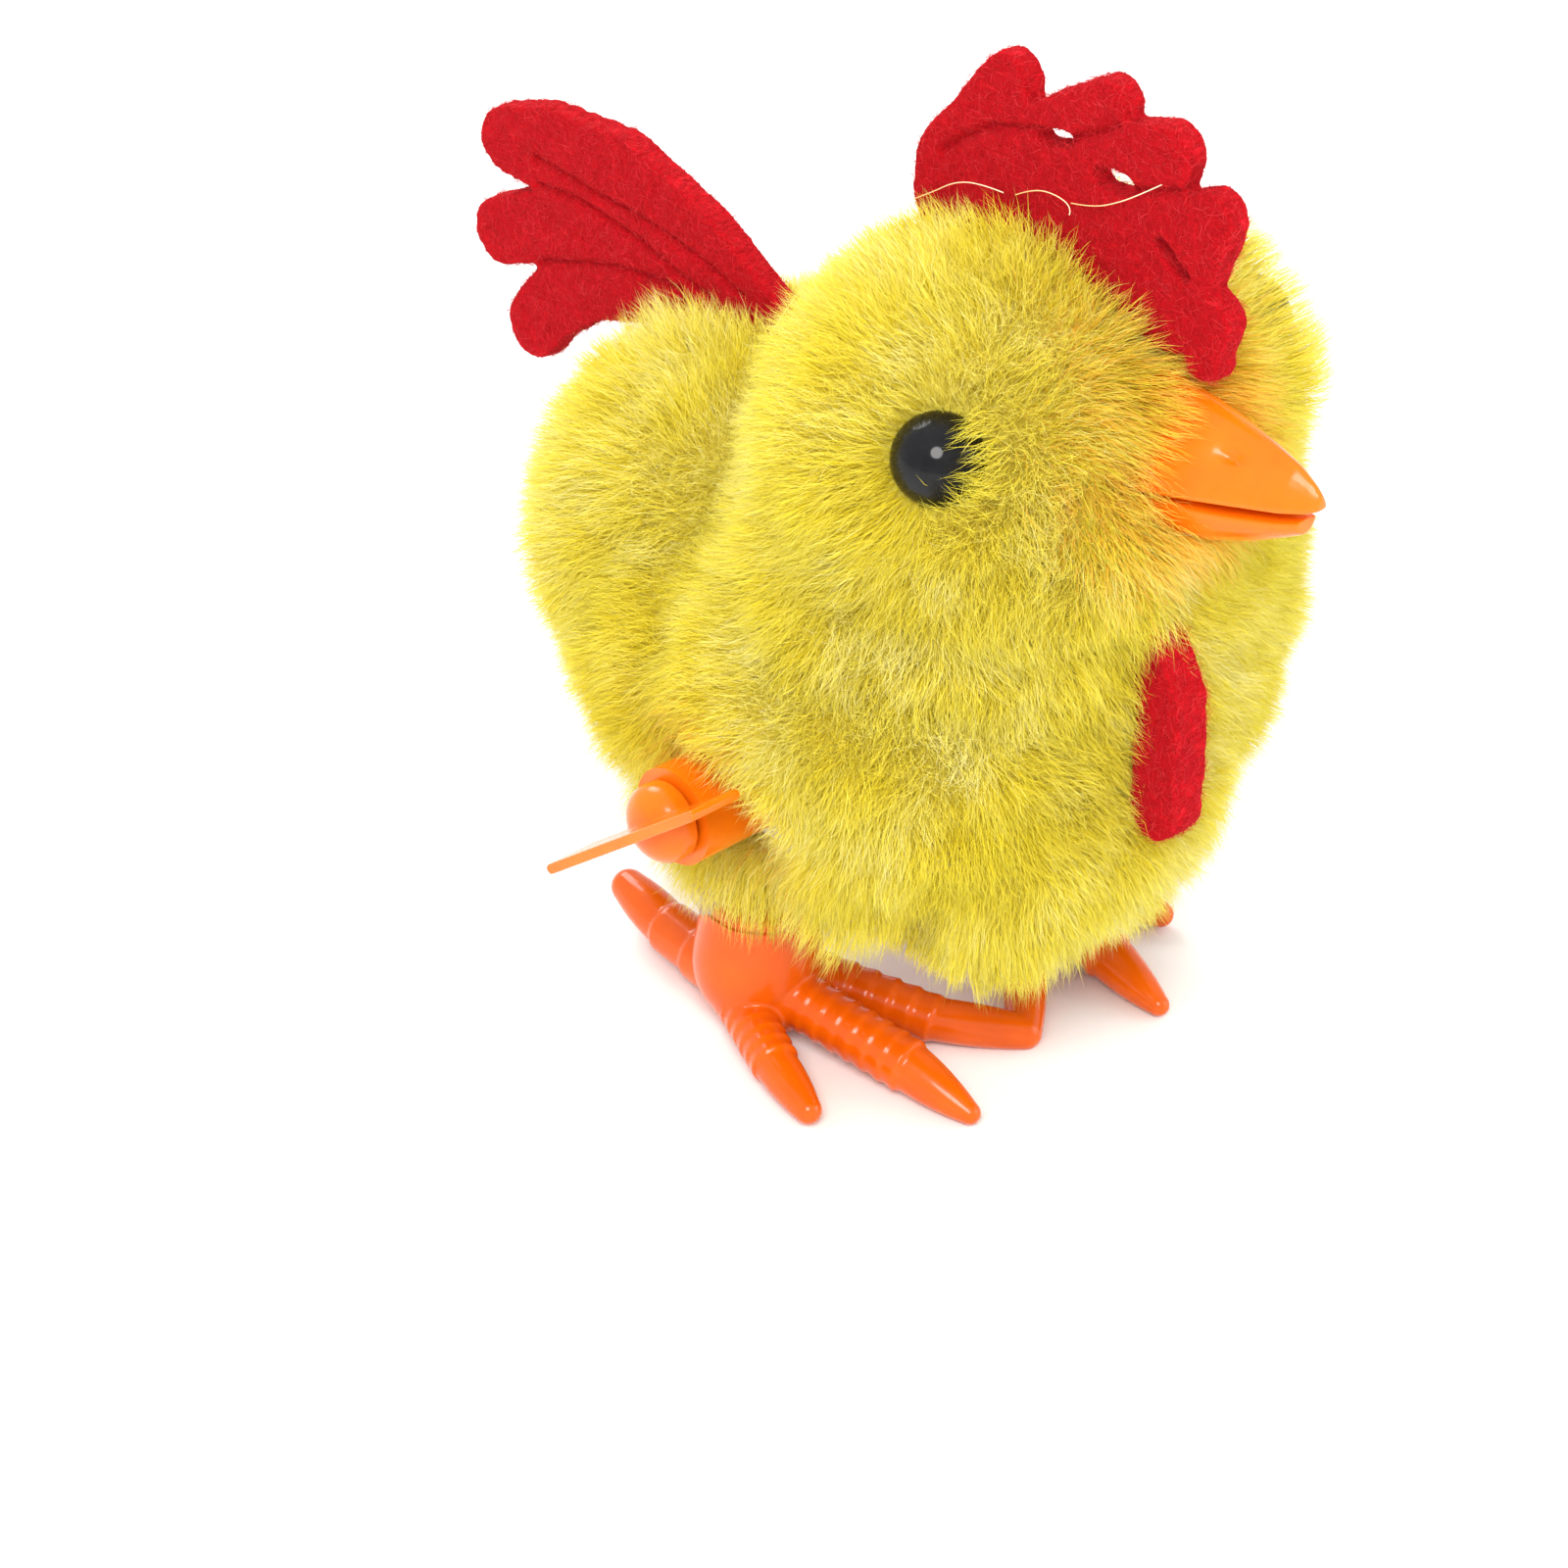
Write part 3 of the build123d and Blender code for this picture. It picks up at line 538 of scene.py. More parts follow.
def open_hem(skin):
    """Cuts the hem opening and the hole for the key's collar, then gives the cloth its thickness."""
    builder = bmesh.new()
    builder.from_mesh(skin.data)
    builder.faces.ensure_lookup_table()
    middles = np.array([face.calc_center_median() for face in builder.faces]) / MM
    at_collar = (middles[:, 0] < 0) & (from_key(middles) < COLLAR_RADIUS + 0.3)
    gone = inside_well(middles) | at_collar
    bmesh.ops.delete(builder, geom=[builder.faces[i] for i in np.nonzero(gone)[0]], context="FACES")
    builder.to_mesh(skin.data)
    builder.free()
    modifier = skin.modifiers.new("cloth", "SOLIDIFY")
    modifier.thickness = 0.9 * MM
    modifier.offset = -1.0
    return shade_smooth(apply_modifiers(skin))


# ---- Plush pile --------------------------------------------------------------------------------
def scatter(obj, count):
    """Random places on a mesh's faces, with normals, spread evenly by area."""
    mesh = obj.data
    mesh.calc_loop_triangles()
    triangles = np.empty(len(mesh.loop_triangles) * 3, int)
    mesh.loop_triangles.foreach_get("vertices", triangles)
    triangles = triangles.reshape(-1, 3)
    places, normals = vertex_array(obj)
    corners = places[triangles]
    sides = corners[:, 1] - corners[:, 0], corners[:, 2] - corners[:, 0]
    area = np.linalg.norm(np.cross(*sides), axis=1)
    share = np.cumsum(area) / area.sum()
    chosen = np.searchsorted(share, rng.random(count))
    a, b = rng.random((2, count))
    flip = a + b > 1
    a[flip], b[flip] = 1 - a[flip], 1 - b[flip]
    weights = np.stack([1 - a - b, a, b], axis=1)[:, :, None]
    return (corners[chosen] * weights).sum(1), unit((normals[triangles[chosen]] * weights).sum(1))


def strand_object(name, lines, widths, tones):
    """Tapered three-sided strands as one mesh.

    lines is (strand, point, 3) in millimetres, root first; the last point is the sharp tip.
    The UV map OFBake holds each strand's tone in U and the way from root to tip in V.
    """
    count, points, _ = lines.shape
    rings = points - 1
    along = unit(lines[:, 1:] - lines[:, :-1])
    side = unit(np.cross(along[:, 0], rng.normal(size=(count, 3))))
    other = np.cross(along[:, 0], side)
    radii = widths[:, None] * np.linspace(1.0, 0.45, rings)[None] / 2
    turn = 2 * math.pi / 3 * np.arange(3)[None, :, None]
    around = side[:, None] * np.cos(turn) + other[:, None] * np.sin(turn)
    ring_places = lines[:, :rings, None, :] + around[:, None] * radii[:, :, None, None]
    size = 3 * rings + 1
    vertices = np.concatenate([ring_places.reshape(count, 3 * rings, 3), lines[:, -1:]], axis=1)
    quads = []
    for ring in range(rings - 1):
        for k in range(3):
            low, following = 3 * ring + k, 3 * ring + (k + 1) % 3
            quads += [low, following, following + 3, low + 3]
    last = 3 * (rings - 1)
    tips = []
    for k in range(3):
        tips += [last + k, last + (k + 1) % 3, size - 1]
    loops = np.array(quads + tips)
    sizes = np.array([4] * (len(quads) // 4) + [3] * 3)
    all_loops = (loops[None] + size * np.arange(count)[:, None]).ravel()
    all_sizes = np.tile(sizes, count)
    mesh = bpy.data.meshes.new(name)
    mesh.vertices.add(count * size)
    mesh.vertices.foreach_set("co", (vertices * MM).ravel())
    mesh.loops.add(len(all_loops))
    mesh.loops.foreach_set("vertex_index", all_loops)
    mesh.polygons.add(len(all_sizes))
    mesh.polygons.foreach_set("loop_start", np.concatenate([[0], np.cumsum(all_sizes)[:-1]]))
    height = np.append(np.repeat(np.linspace(0, 1, points)[:rings], 3), 1.0)
    uv = np.stack([np.repeat(tones, size), np.tile(height, count)], axis=1)
    layer = mesh.uv_layers.new(name="OFBake")
    layer.data.foreach_set("uv", np.clip(uv[all_loops], 0.004, 0.996).ravel())
    mesh.polygons.foreach_set("use_smooth", np.ones(len(all_sizes), bool))
    mesh.update(calc_edges=True)
    return link(bpy.data.objects.new(name, mesh))


def bent_lines(roots, first, last, lengths, crimp=0.0):
    """Four points of each strand, which leaves along first and ends along last, kinked by crimp."""
    middle = unit(first + last)
    reach = lengths[:, None]
    low = roots + 0.36 * reach * first + crimp * rng.normal(size=roots.shape)
    high = low + 0.34 * reach * middle + crimp * rng.normal(size=roots.shape)
    return np.stack([roots, low, high, high + 0.30 * reach * last], axis=1)


def hem_fringe():
    """Roots and outward directions of the pile on the band of cloth round the foot of the case."""
    count = STRANDS // 20
    along = rng.random(count) * (2 * FRINGE_SIDE + 2 * FRINGE_HALF_WIDTH)
    on_front = along < 2 * FRINGE_HALF_WIDTH
    side = np.where(rng.random(count) < 0.5, -1.0, 1.0)
    x = np.where(on_front, along - FRINGE_HALF_WIDTH, side * FRINGE_HALF_WIDTH)
    y = np.where(on_front, FRINGE_FRONT, FRINGE_FRONT + rng.random(count) * FRINGE_SIDE)
    z = FRINGE_FOOT + FRINGE_HEIGHT * rng.random(count)
    out = np.where(on_front[:, None], [0.0, -1.0, 0.0], side[:, None] * [1.0, 0.0, 0.0])
    return np.stack([x, y, z], axis=1), out


def make_hem_fringe():
    """Short pile that hangs over the foot of the case."""
    roots, out = hem_fringe()
    loose = rng.normal(size=roots.shape) * 0.22
    down = np.array([0.0, 0.0, -1.0])
    lengths = np.where(np.abs(out[:, 0]) > 0, 2.2, 3.2) + 0.8 * rng.random(len(roots))
    first, last = unit(0.7 * out + down + loose), unit(0.1 * out + down - loose)
    lines = bent_lines(roots, first, last, lengths, PILE_CRIMP)
    tones = np.clip(PLAIN_TONE + 0.2 * rng.normal(size=len(roots)), 0.0, LIGHTEST_TONE)
    fringe = strand_object("hem_fringe", lines, np.full(len(roots), 1.2 * PILE_WIDTH), tones)
    finish_piece(fringe, "plush_pile", "body", "plush")


def under_felt(places, spare=0.0):
    """True on the crown round the comb and on the rump round the tail."""
    y, z = places[:, 1], places[:, 2]
    comb = (z > COMB_FOOT - 2 * spare) & (y < COMB_BACK)
    tail = (z > TAIL_FOOT - spare) & (y > TAIL_FRONT - spare)
    return comb | tail


def from_eye(places):
    """Way from the nearer bead's middle, as if both were on the left, and its length."""
    way = np.stack([np.abs(places[:, 0]), places[:, 1], places[:, 2]], axis=1) - EYE
    return way, np.linalg.norm(way, axis=1)


def from_beak(places):
    """Distance from the beak's axis, as a part of the beak's half sizes at its root."""
    return np.hypot(places[:, 0] / BEAK_ROOT[0], (places[:, 2] - BEAK_HEIGHT) / BEAK_ROOT[1])


class Pile:
    """Strands on the cloth: their roots, the directions in which they start and end, their lengths."""

    def __init__(self, skin):
        self.roots, self.normals = scatter(skin, STRANDS)
        self.keep_clear()
        self.count = len(self.roots)
        self.eye_way, self.eye_gap = from_eye(self.roots)
        self.beak_gap = from_beak(self.roots)
        self.key_gap = from_key(self.roots)
        self.stray = rng.normal(size=self.roots.shape) * 0.45
        lean = self.lean()
        uneven = 0.28 * noise(self.roots, 2.8, 9.9)[:, 0] + 0.10 * rng.normal(size=self.count)
        self.lengths = PILE_LENGTH * (0.92 + uneven)
        curl = rng.normal(size=self.roots.shape) * 0.36
        self.first = unit(self.normals + 0.22 * lean + curl)
        self.last = unit(self.normals * 0.95 + 0.52 * lean - curl)

    def keep_clear(self):
        """Takes away the strands that would grow inside a hard piece, the felt or the opening."""
        roots = self.roots
        at_beak = (from_beak(roots) < 1.0) & (roots[:, 1] < -6)
        at_collar = (from_key(roots) < COLLAR_RADIUS + 0.5) & (roots[:, 0] < 0)
        at_felt = (np.abs(roots[:, 0]) < FELT_HALF_WIDTH) & under_felt(roots)
        at_eye = from_eye(roots)[1] < EYE_BARE
        keep = ~(at_beak | at_collar | at_felt | at_eye | inside_well(roots, 0.1))
        self.roots, self.normals = roots[keep], self.normals[keep]

    def lean(self):
        """Lean along the cloth: back and down, away from the beak and the felt, and in tufts."""
        roots, normals = self.roots, self.normals
        flow = np.tile([0.0, 0.20, -0.50], (self.count, 1))
        beak_way = roots - BEAK_MIDDLE
        near_beak = np.clip(1 - np.linalg.norm(beak_way, axis=1) / 22, 0, 1)
        flow += unit(beak_way) * near_beak[:, None] * 0.5
        tufts = noise(roots, 3.6) * 0.95 + noise(roots, 1.7, 3.1) * 0.75 + noise(roots, 9.0, 5.7) * 0.35
        lean = flow + tufts + self.stray
        lean -= normals * (lean * normals).sum(1, keepdims=True)
        beside_felt = np.clip((3.2 - np.abs(roots[:, 0])) / 3.2, 0, 1) * under_felt(roots, 2.0)
        lean[:, 0] += 0.7 * beside_felt * np.sign(roots[:, 0])
        return lean

    def hang_at_hem(self):
        """At the hem and round the opening the pile hangs."""
        roots, mirrored = self.roots, np.abs(self.roots[:, 0])
        out_of_well = np.maximum.reduce([
            mirrored - WELL_HALF_WIDTH,
            WELL_FRONT - roots[:, 1],
            roots[:, 1] - WELL_BACK,
            np.zeros(self.count),
        ])
        at_rim = np.clip(1 - out_of_well / 6.0, 0, 1) * (roots[:, 2] < WELL_TOP - 1.0)
        hang = np.maximum(np.clip((HANG_TOP - roots[:, 2]) / 6.0, 0, 1), at_rim)[:, None]
        self.first = unit(self.first + hang * np.array([0.0, 0.0, -0.5]))
        self.last = unit(self.last + hang * np.array([0.0, 0.0, -1.5]))
        self.lengths *= 1 + hang[:, 0] * (0.05 + 0.30 * np.clip((mirrored - 3.0) / 5.0, 0, 1))

    def part_round_eyes(self):
        """Round each bead the pile stands on end and leans away, so that the bead shows.

        In front of the bead it is long and falls back over the bead's edge, and on the bird's
        left it is brushed up over the top of the bead.
        """
        normals, on_left = self.normals, self.roots[:, 0] > 0
        sides = np.where(on_left[:, None], [1.0, 1.0, 1.0], [-1.0, 1.0, 1.0])
        outward = unit(self.eye_way * sides)
        beside_eye = np.clip((EYE_SURROUND - self.eye_gap) / 2.4, 0, 1)[:, None]
        over_front = (self.eye_way[:, 1:2] < -1.2) * beside_eye
        clear = beside_eye * (1 - over_front)
        self.first = unit(self.first + beside_eye * 0.9 * normals + clear * 0.4 * outward)
        away = clear * (0.4 * outward + 0.5 * normals)
        over = over_front * (1.3 * outward - 0.5 * normals)
        self.last = unit(self.last + away - over)
        self.lengths *= 1 + 0.50 * over_front[:, 0]

        above = self.eye_way @ np.array([-0.6, -0.6, 0.5]) > 0
        brushed = on_left & above & (self.eye_gap < EYE_SURROUND)
        self.first[brushed] = unit(self.first + 1.4 * normals)[brushed]
        self.last[brushed] = unit(normals - 0.5 * outward + 0.2 * self.stray)[brushed]
        self.lengths[brushed] = np.maximum(self.lengths[brushed], 6.4)

    def part_round_beak(self):
        """Over the beak's root the pile stands forward."""
        over_beak = np.clip(2.3 - self.beak_gap, 0, 1)[:, None] * (self.roots[:, 1:2] < -4)
        above_beak = over_beak * (self.roots[:, 2:] > 64.5)
        self.first = unit(self.first + above_beak * np.array([0.0, -1.2, 0.0]))
        forward = over_beak * 0.6 * self.normals + above_beak * np.array([0.0, -1.8, -0.2])
        self.last = unit(self.last + forward)
        self.lengths *= 1 + 0.30 * over_beak[:, 0] + 0.25 * above_beak[:, 0]

    def part_round_key(self):
        """Beside the key's collar the pile is short and parted."""
        roots = self.roots
        beside_collar = np.clip((10.5 - self.key_gap) / 4.0, 0, 1) * (roots[:, 0] < 0) * below_key(roots)
        away = unit((roots - (0.0, *KEY_AXIS)) * (0.0, 1.0, 1.0))
        self.last = unit(self.last + beside_collar[:, None] * away)
        self.lengths *= 1 - 0.55 * beside_collar

    def press_short(self):
        """Behind the wattle and under the turning key the pile is pressed short."""
        roots = self.roots
        in_height = (roots[:, 2] > WATTLE_FOOT) & (roots[:, 2] < WATTLE_TOP)
        behind_wattle = (np.abs(roots[:, 0]) < WATTLE_HALF_WIDTH) & (roots[:, 1] < 0) & in_height
        self.lengths[behind_wattle] *= 0.55
        reach = roots[:, 0] + self.lengths * self.last[:, 0]
        under_key = (self.key_gap < BLADE_REACH) & (roots[:, 0] < 0) & (reach < BLADE_X)
        self.lengths[under_key] *= 0.62
        self.lengths = np.clip(self.lengths, LEAST_LENGTH, GREATEST_LENGTH)

    def tones(self):
        """Each strand's tone: lighter and darker patches, and orange by the beak and the collar."""
        roots = self.roots
        tones = PLAIN_TONE + 0.20 * noise(roots, 11.0, 2.2)[:, 0] + 0.26 * noise(roots, 3.6, 4.4)[:, 0]
        tones += 0.13 * rng.normal(size=self.count)
        tones = np.clip(tones, 0.0, LIGHTEST_TONE)
        by_beak = np.clip(1.7 - self.beak_gap * 0.60, 0, 1) * (roots[:, 1] < 0)
        by_key = np.clip(1.6 - self.key_gap / 6.0, 0, 1) * (roots[:, 0] < 0)
        warm = rng.random(self.count) < 0.7 * np.maximum(by_beak, by_key)
        return np.where(warm, WARM_TONE + 0.10 * rng.random(self.count), tones)


def make_pile(skin):
    """The pile, which leans back and down, bunches into tufts and parts round the hard pieces."""
    pile = Pile(skin)
    pile.hang_at_hem()
    pile.part_round_eyes()
    pile.part_round_beak()
    pile.part_round_key()
    pile.press_short()
    tones = pile.tones()
    widths = PILE_WIDTH * 1.0 * (0.75 + 0.5 * rng.random(pile.count))
    roots = pile.roots - 0.3 * pile.normals
    lines = bent_lines(roots, pile.first, pile.last, pile.lengths, PILE_CRIMP)

    order = np.argsort(-pile.roots[:, 2])
    rows = math.ceil(len(order) / STRANDS_IN_PIECE)
    for row, chosen in enumerate(np.array_split(order, rows)):
        piece = strand_object(f"pile_row_{row + 1:02d}", lines[chosen], widths[chosen], tones[chosen])
        finish_piece(piece, "plush_pile", "body", "plush")


# ---- Felt: the cut lines pressed into the tail and the comb, as (y, z) corners -----------------
TAIL_CUTS = (
    ((63.2, 60.6), (57.6, 60.3), (47.6, 60.2), (40.6, 59.2), (36.0, 58.0)),
    ((62.8, 58.2), (57.6, 58.8), (49.2, 58.0), (40.0, 56.2)),
    ((62.6, 50.8), (57.5, 52.7), (51.9, 54.5), (44.0, 55.6)),
)
COMB_CUTS = (
    ((14.1, 79.6), (11.9, 81.6), (9.2, 83.4), (4.2, 84.9)),
    ((1.0, 85.3), (-2.1, 87.0), (-4.1, 88.4)),
    ((-5.4, 83.4), (-8.6, 84.6), (-10.4, 85.3)),
)
CUT_WIDTH = 0.34
CUT_DEPTH = 0.75
FIBRE_WIDTH = 0.045
FIBRE_LENGTH = 1.0


def distance_to_line(points, line):
    """Distance in Y and Z from points to an open line of (y, z) corners."""
    least = np.full(len(points), 1e9)
    for start, end in zip(line, line[1:]):
        start, end = np.array(start), np.array(end)
        way = end - start
        part = np.clip(((points - start) @ way) / (way @ way), 0, 1)
        least = np.minimum(least, np.linalg.norm(points - start - part[:, None] * way, axis=1))
    return least


def felt_piece(name, node, voxel, cuts, bend):
    """Thick felt: soft edges, uneven faces, pressed cut lines and a slow bend out of its plane."""
    piece = node_copy(name, node)
    remesh(piece, voxel)
    smooth(piece, 0.6, 5)
    places, normals = vertex_array(piece)
    rough = noise(places, 2.2, 1.7)[:, :1] * 0.16 + noise(places, 0.7, 6.1)[:, :1] * 0.09
    places = places + normals * rough
    for cut in cuts:
        depth = CUT_DEPTH * np.exp(-((distance_to_line(places[:, 1:], cut) / CUT_WIDTH) ** 2))
        places[:, 0] -= np.sign(places[:, 0]) * depth * (np.abs(normals[:, 0]) > 0.5)
    places[:, 0] += bend(places)
    put_vertices(piece, places)
    return shade_smooth(piece)


def felt_fuzz(name, piece, count):
    """Fine loose fibres that lie along a felt piece and stand out at its edges."""
    roots, normals = scatter(piece, count)
    wander = unit(rng.normal(size=roots.shape))
    wander -= normals * (wander * normals).sum(1, keepdims=True)
    wander = unit(wander)
    lift = (0.10 + 0.35 * rng.random(count) ** 3)[:, None]
    turn = unit(np.cross(normals, wander)) * rng.normal(size=(count, 1)) * 0.6
    first = unit(wander + lift * 2 * normals)
    last = unit(wander + turn + lift * 0.2 * normals - 0.12 * normals)
    lines = bent_lines(roots, first, last, FIBRE_LENGTH * (0.5 + rng.random(count)))
    fuzz = strand_object(name, lines, np.full(count, FIBRE_WIDTH), rng.random(count) ** 1.8)
    return finish_piece(fuzz, "felt_fibre", "body", "felt")


def comb_bend(places):
    """Slow wave along the comb's free edge."""
    return 0.5 * np.sin((places[:, 1] - 2) / 9.0) * np.clip((places[:, 2] - 76) / 14, 0, 1)


def tail_bend(places):
    """Slow wave towards the tail's tips."""
    return 0.9 * np.sin((places[:, 1] - 34) / 16.0) * np.clip((places[:, 1] - 38) / 30, 0, 1)


def no_bend(places):
    """The wattle stays in its plane."""
    return np.zeros(len(places))


def make_felt():
    """Comb, tail and wattle, each with its loose fibres."""
    comb = felt_piece("comb_felt", "comb", 0.22, COMB_CUTS, comb_bend)
    tail = felt_piece("tail_felt", "tail", 0.24, TAIL_CUTS, tail_bend)
    wattle = felt_piece("wattle_felt", "wattle", 0.14, (), no_bend)
    for piece, node, fibres in ((comb, "comb", 9000), (tail, "tail", 11000), (wattle, "wattle", 3600)):
        finish_piece(piece, "felt", "body", "felt", node)
        felt_fuzz(f"{node}_fuzz", piece, fibres // (1))


# ---- Beak: (y, half width, height of the mouth, height of the outer edge) along each mandible --
UPPER_MANDIBLE = (
    (-9.0, 6.6, 62.1, 69.4), (-13.0, 6.0, 62.4, 69.0), (-16.5, 5.0, 62.8, 68.5), (-20.0, 3.7, 63.2, 67.8),
    (-23.4, 2.2, 63.5, 66.9), (-25.2, 1.2, 63.8, 65.9), (-26.0, 0.6, 64.1, 65.2),
)
LOWER_MANDIBLE = (
    (-9.0, 5.5, 61.5, 56.6), (-13.0, 5.2, 61.4, 56.9), (-17.0, 4.2, 61.5, 57.7), (-20.5, 3.0, 61.9, 59.1),
    (-23.3, 1.9, 62.3, 60.6), (-24.7, 1.1, 62.6, 61.4),
)
MANDIBLE_STEPS = 24
MOUTH_ROOT = (0.0, -10.8, 62.4)
MOUTH_ROOT_RADIUS = 3.4
MOUTH_ROOT_LENGTH = 5.0
NOSTRIL = (2.5, -18.6, 66.4)
NOSTRIL_SIZE = (1.0, 1.1, 0.5)
NOSTRIL_DEPTH = 0.5


def mandible(builder, stations, rise):
    """Closed loft of one mandible; a rise over 1 draws its outer side up to a keel."""
    rings = []
    steps = MANDIBLE_STEPS
    for y, half_width, mouth, crown in stations:
        ring = []
        for step in range(steps):
            angle = 2 * math.pi * step / steps
            across, up = math.cos(angle), math.sin(angle)
            x = half_width * math.copysign(abs(across) ** rise, across)
            if up > 0:
                z = mouth + (crown - mouth) * up ** rise
            else:
                z = mouth - 0.12 * abs(crown - mouth) * abs(up) * math.copysign(1, crown - mouth)
            ring.append(builder.verts.new((x * MM, y * MM, z * MM)))
        rings.append(ring)
    for ring, following in zip(rings, rings[1:]):
        for k in range(steps):
            builder.faces.new((ring[k], ring[(k + 1) % steps], following[(k + 1) % steps], following[k]))
    builder.faces.new(rings[0])
    builder.faces.new(rings[-1])


def make_beak():
    """Both mandibles of the beak with a mouth line between them and a nostril on each side."""
    builder = bmesh.new()
    mandible(builder, UPPER_MANDIBLE, 1.45)
    mandible(builder, LOWER_MANDIBLE, 1.1)
    along_y = Matrix.Rotation(math.pi / 2, 4, "X")
    bmesh.ops.create_cone(
        builder, cap_ends=True, segments=32, depth=MOUTH_ROOT_LENGTH * MM,
        radius1=MOUTH_ROOT_RADIUS * MM, radius2=MOUTH_ROOT_RADIUS * MM,
        matrix=Matrix.Translation(Vector(MOUTH_ROOT) * MM) @ along_y,
    )
    bmesh.ops.recalc_face_normals(builder, faces=builder.faces)
    mesh = bpy.data.meshes.new("beak_moulding")
    builder.to_mesh(mesh)
    builder.free()
    beak = link(bpy.data.objects.new("beak_moulding", mesh))
    remesh(beak, 0.16)
    smooth(beak, 0.5, 6)
    places, normals = vertex_array(beak)
    for side in (-1, 1):
        way = places - np.array([side * NOSTRIL[0], NOSTRIL[1], NOSTRIL[2]])
        reach = np.linalg.norm(way / NOSTRIL_SIZE, axis=1)
        places -= normals * (NOSTRIL_DEPTH * np.exp(-reach**2))[:, None]
    put_vertices(beak, places)
    shade_smooth(beak)
    finish_piece(beak, "beak", "body", "orange_plastic", "beak")


# ---- Moulded plastic, and the CAD pieces that get only a material ------------------------------
PAINTED = {
    "orange": ("key_collar",),
    "white": (
        "case_right", "case_left", "beak_washer", "eye_washer_right", "eye_washer_left", "main_gear",
        "second_gear", "crank_gear", "escape_wheel", "pallet", "crank_right", "crank_left",
    ),
    "steel": (
        "winding_arbor", "second_axle", "escape_axle", "pallet_axle", "crankshaft", "foot_pivot_pin",
        "case_screws", "mainspring",
    ),
    "eye": ("eye_right", "eye_left"),
}
GLUE_STRETCH = (0.35, 0.95, 1.25)
GLUE_SHIFT = (-1.6, -1.2, -2.6)


def moulding(name, node, voxel, rounds, material, body, slot):
    """A CAD piece with the soft edges that a mould gives it."""
    piece = node_copy(name, node)
    remesh(piece, voxel)
    smooth(piece, 0.5, rounds)
    shade_smooth(piece)
    return finish_piece(piece, material, body, slot, node)


def round_thighs(feet):
    """Rounds over the flat top of each thigh beside its arm."""
    places, _ = vertex_array(feet)
    mirrored = np.abs(places[:, 0])
    from_middle = np.hypot(mirrored - THIGH[0], places[:, 1] - THIGH[1])
    thigh_top = (places[:, 2] > 12.2) & (places[:, 2] < 14.2) & (mirrored > 14.5)
    places[:, 2] -= thigh_top * 2.0 * np.clip((from_middle - 1.5) / 4.0, 0, 1) ** 2
    put_vertices(feet, places)
    smooth(feet, 0.5, 3)
    shade_smooth(feet)


def make_plastic():
    """The feet and the key as mouldings, and the materials of the pieces that keep their CAD meshes."""
    feet = moulding("feet_moulding", "feet", 0.2, 4, "feet", "feet", "foot_plastic")
    round_thighs(feet)
    moulding("key_moulding", "winding_key", 0.13, 4, "orange", "key", "orange_plastic")
    for material, names in PAINTED.items():
        for name in names:
            paint_node(name, material)
    for name in PAINTED["eye"]:
        shade_smooth(nodes[name])


def make_glue():
    """Lumpy bead of clear glue at the hem."""
    blob = node_copy("glue_blob", "glue_bead")
    remesh(blob, 0.18)
    places, normals = vertex_array(blob)
    middle = places.mean(axis=0)
    places = middle + (places - middle) * GLUE_STRETCH + GLUE_SHIFT
    put_vertices(blob, places + normals * noise(places, 1.1, 8.8)[:, :1] * 0.6)
    smooth(blob, 0.5, 3)
    shade_smooth(blob)
    finish_piece(blob, "glue", "body", "glue", "glue_bead")


def make_stuffing():
    """Wadding: the stuffing's solid with an uneven, teased surface."""
    wadding = node_copy("wadding", "stuffing")
    remesh(wadding, 0.9)
    places, normals = vertex_array(wadding)
    put_vertices(wadding, places - normals * (2.6 + 0.4 * noise(places, 2.5, 4.0)[:, :1]))
    shade_smooth(wadding)
    finish_piece(wadding, "wadding", "body", "stuffing", "stuffing")


# ---- Loose sewing thread: (y, distance to the bird's right, z) along each end ------------------
THREAD_RADIUS = 0.045
THREADS = (
    ((16.6, 1.6, 74.6), (14.1, 2.2, 76.3), (11.6, 2.2, 78.2), (9.1, 2.0, 78.9), (6.8, 1.8, 78.9)),
    ((5.5, 1.8, 79.2), (3.4, 2.0, 80.6), (1.2, 1.8, 80.8), (-0.2, 1.6, 80.2), (0.0, 1.6, 79.5)),
    ((-0.2, 1.7, 80.6), (-2.6, 1.9, 81.2), (-5.2, 2.0, 82.6), (-7.2, 1.8, 84.0), (-9.0, 1.5, 85.4)),
    ((29.2, 1.6, 61.3), (30.7, 1.8, 58.8), (32.3, 1.6, 56.2)),
)


def make_threads():
    """Ends of the sewing thread that stand out of the seam beside the comb and the tail."""
    for number, route in enumerate(THREADS):
        curve = bpy.data.curves.new(f"thread_{number + 1}", "CURVE")
        curve.dimensions = "3D"
        curve.bevel_depth = THREAD_RADIUS * MM
        curve.bevel_resolution = 2
        line = curve.splines.new("NURBS")
        line.points.add(len(route) - 1)
        for point, (y, x, z) in zip(line.points, route):
            point.co = (-x * MM, y * MM, z * MM, 1.0)
        line.order_u = 3
        line.use_endpoint_u = True
        thread = link(bpy.data.objects.new(f"seam_thread_{number + 1}", curve))
        made = bpy.data.meshes.new_from_object(thread)
        bpy.data.objects.remove(thread)
        thread = link(bpy.data.objects.new(f"seam_thread_{number + 1}", made))
        made.uv_layers.new(name="OFBake")
        shade_smooth(thread)
        finish_piece(thread, "thread", "body", "plush")


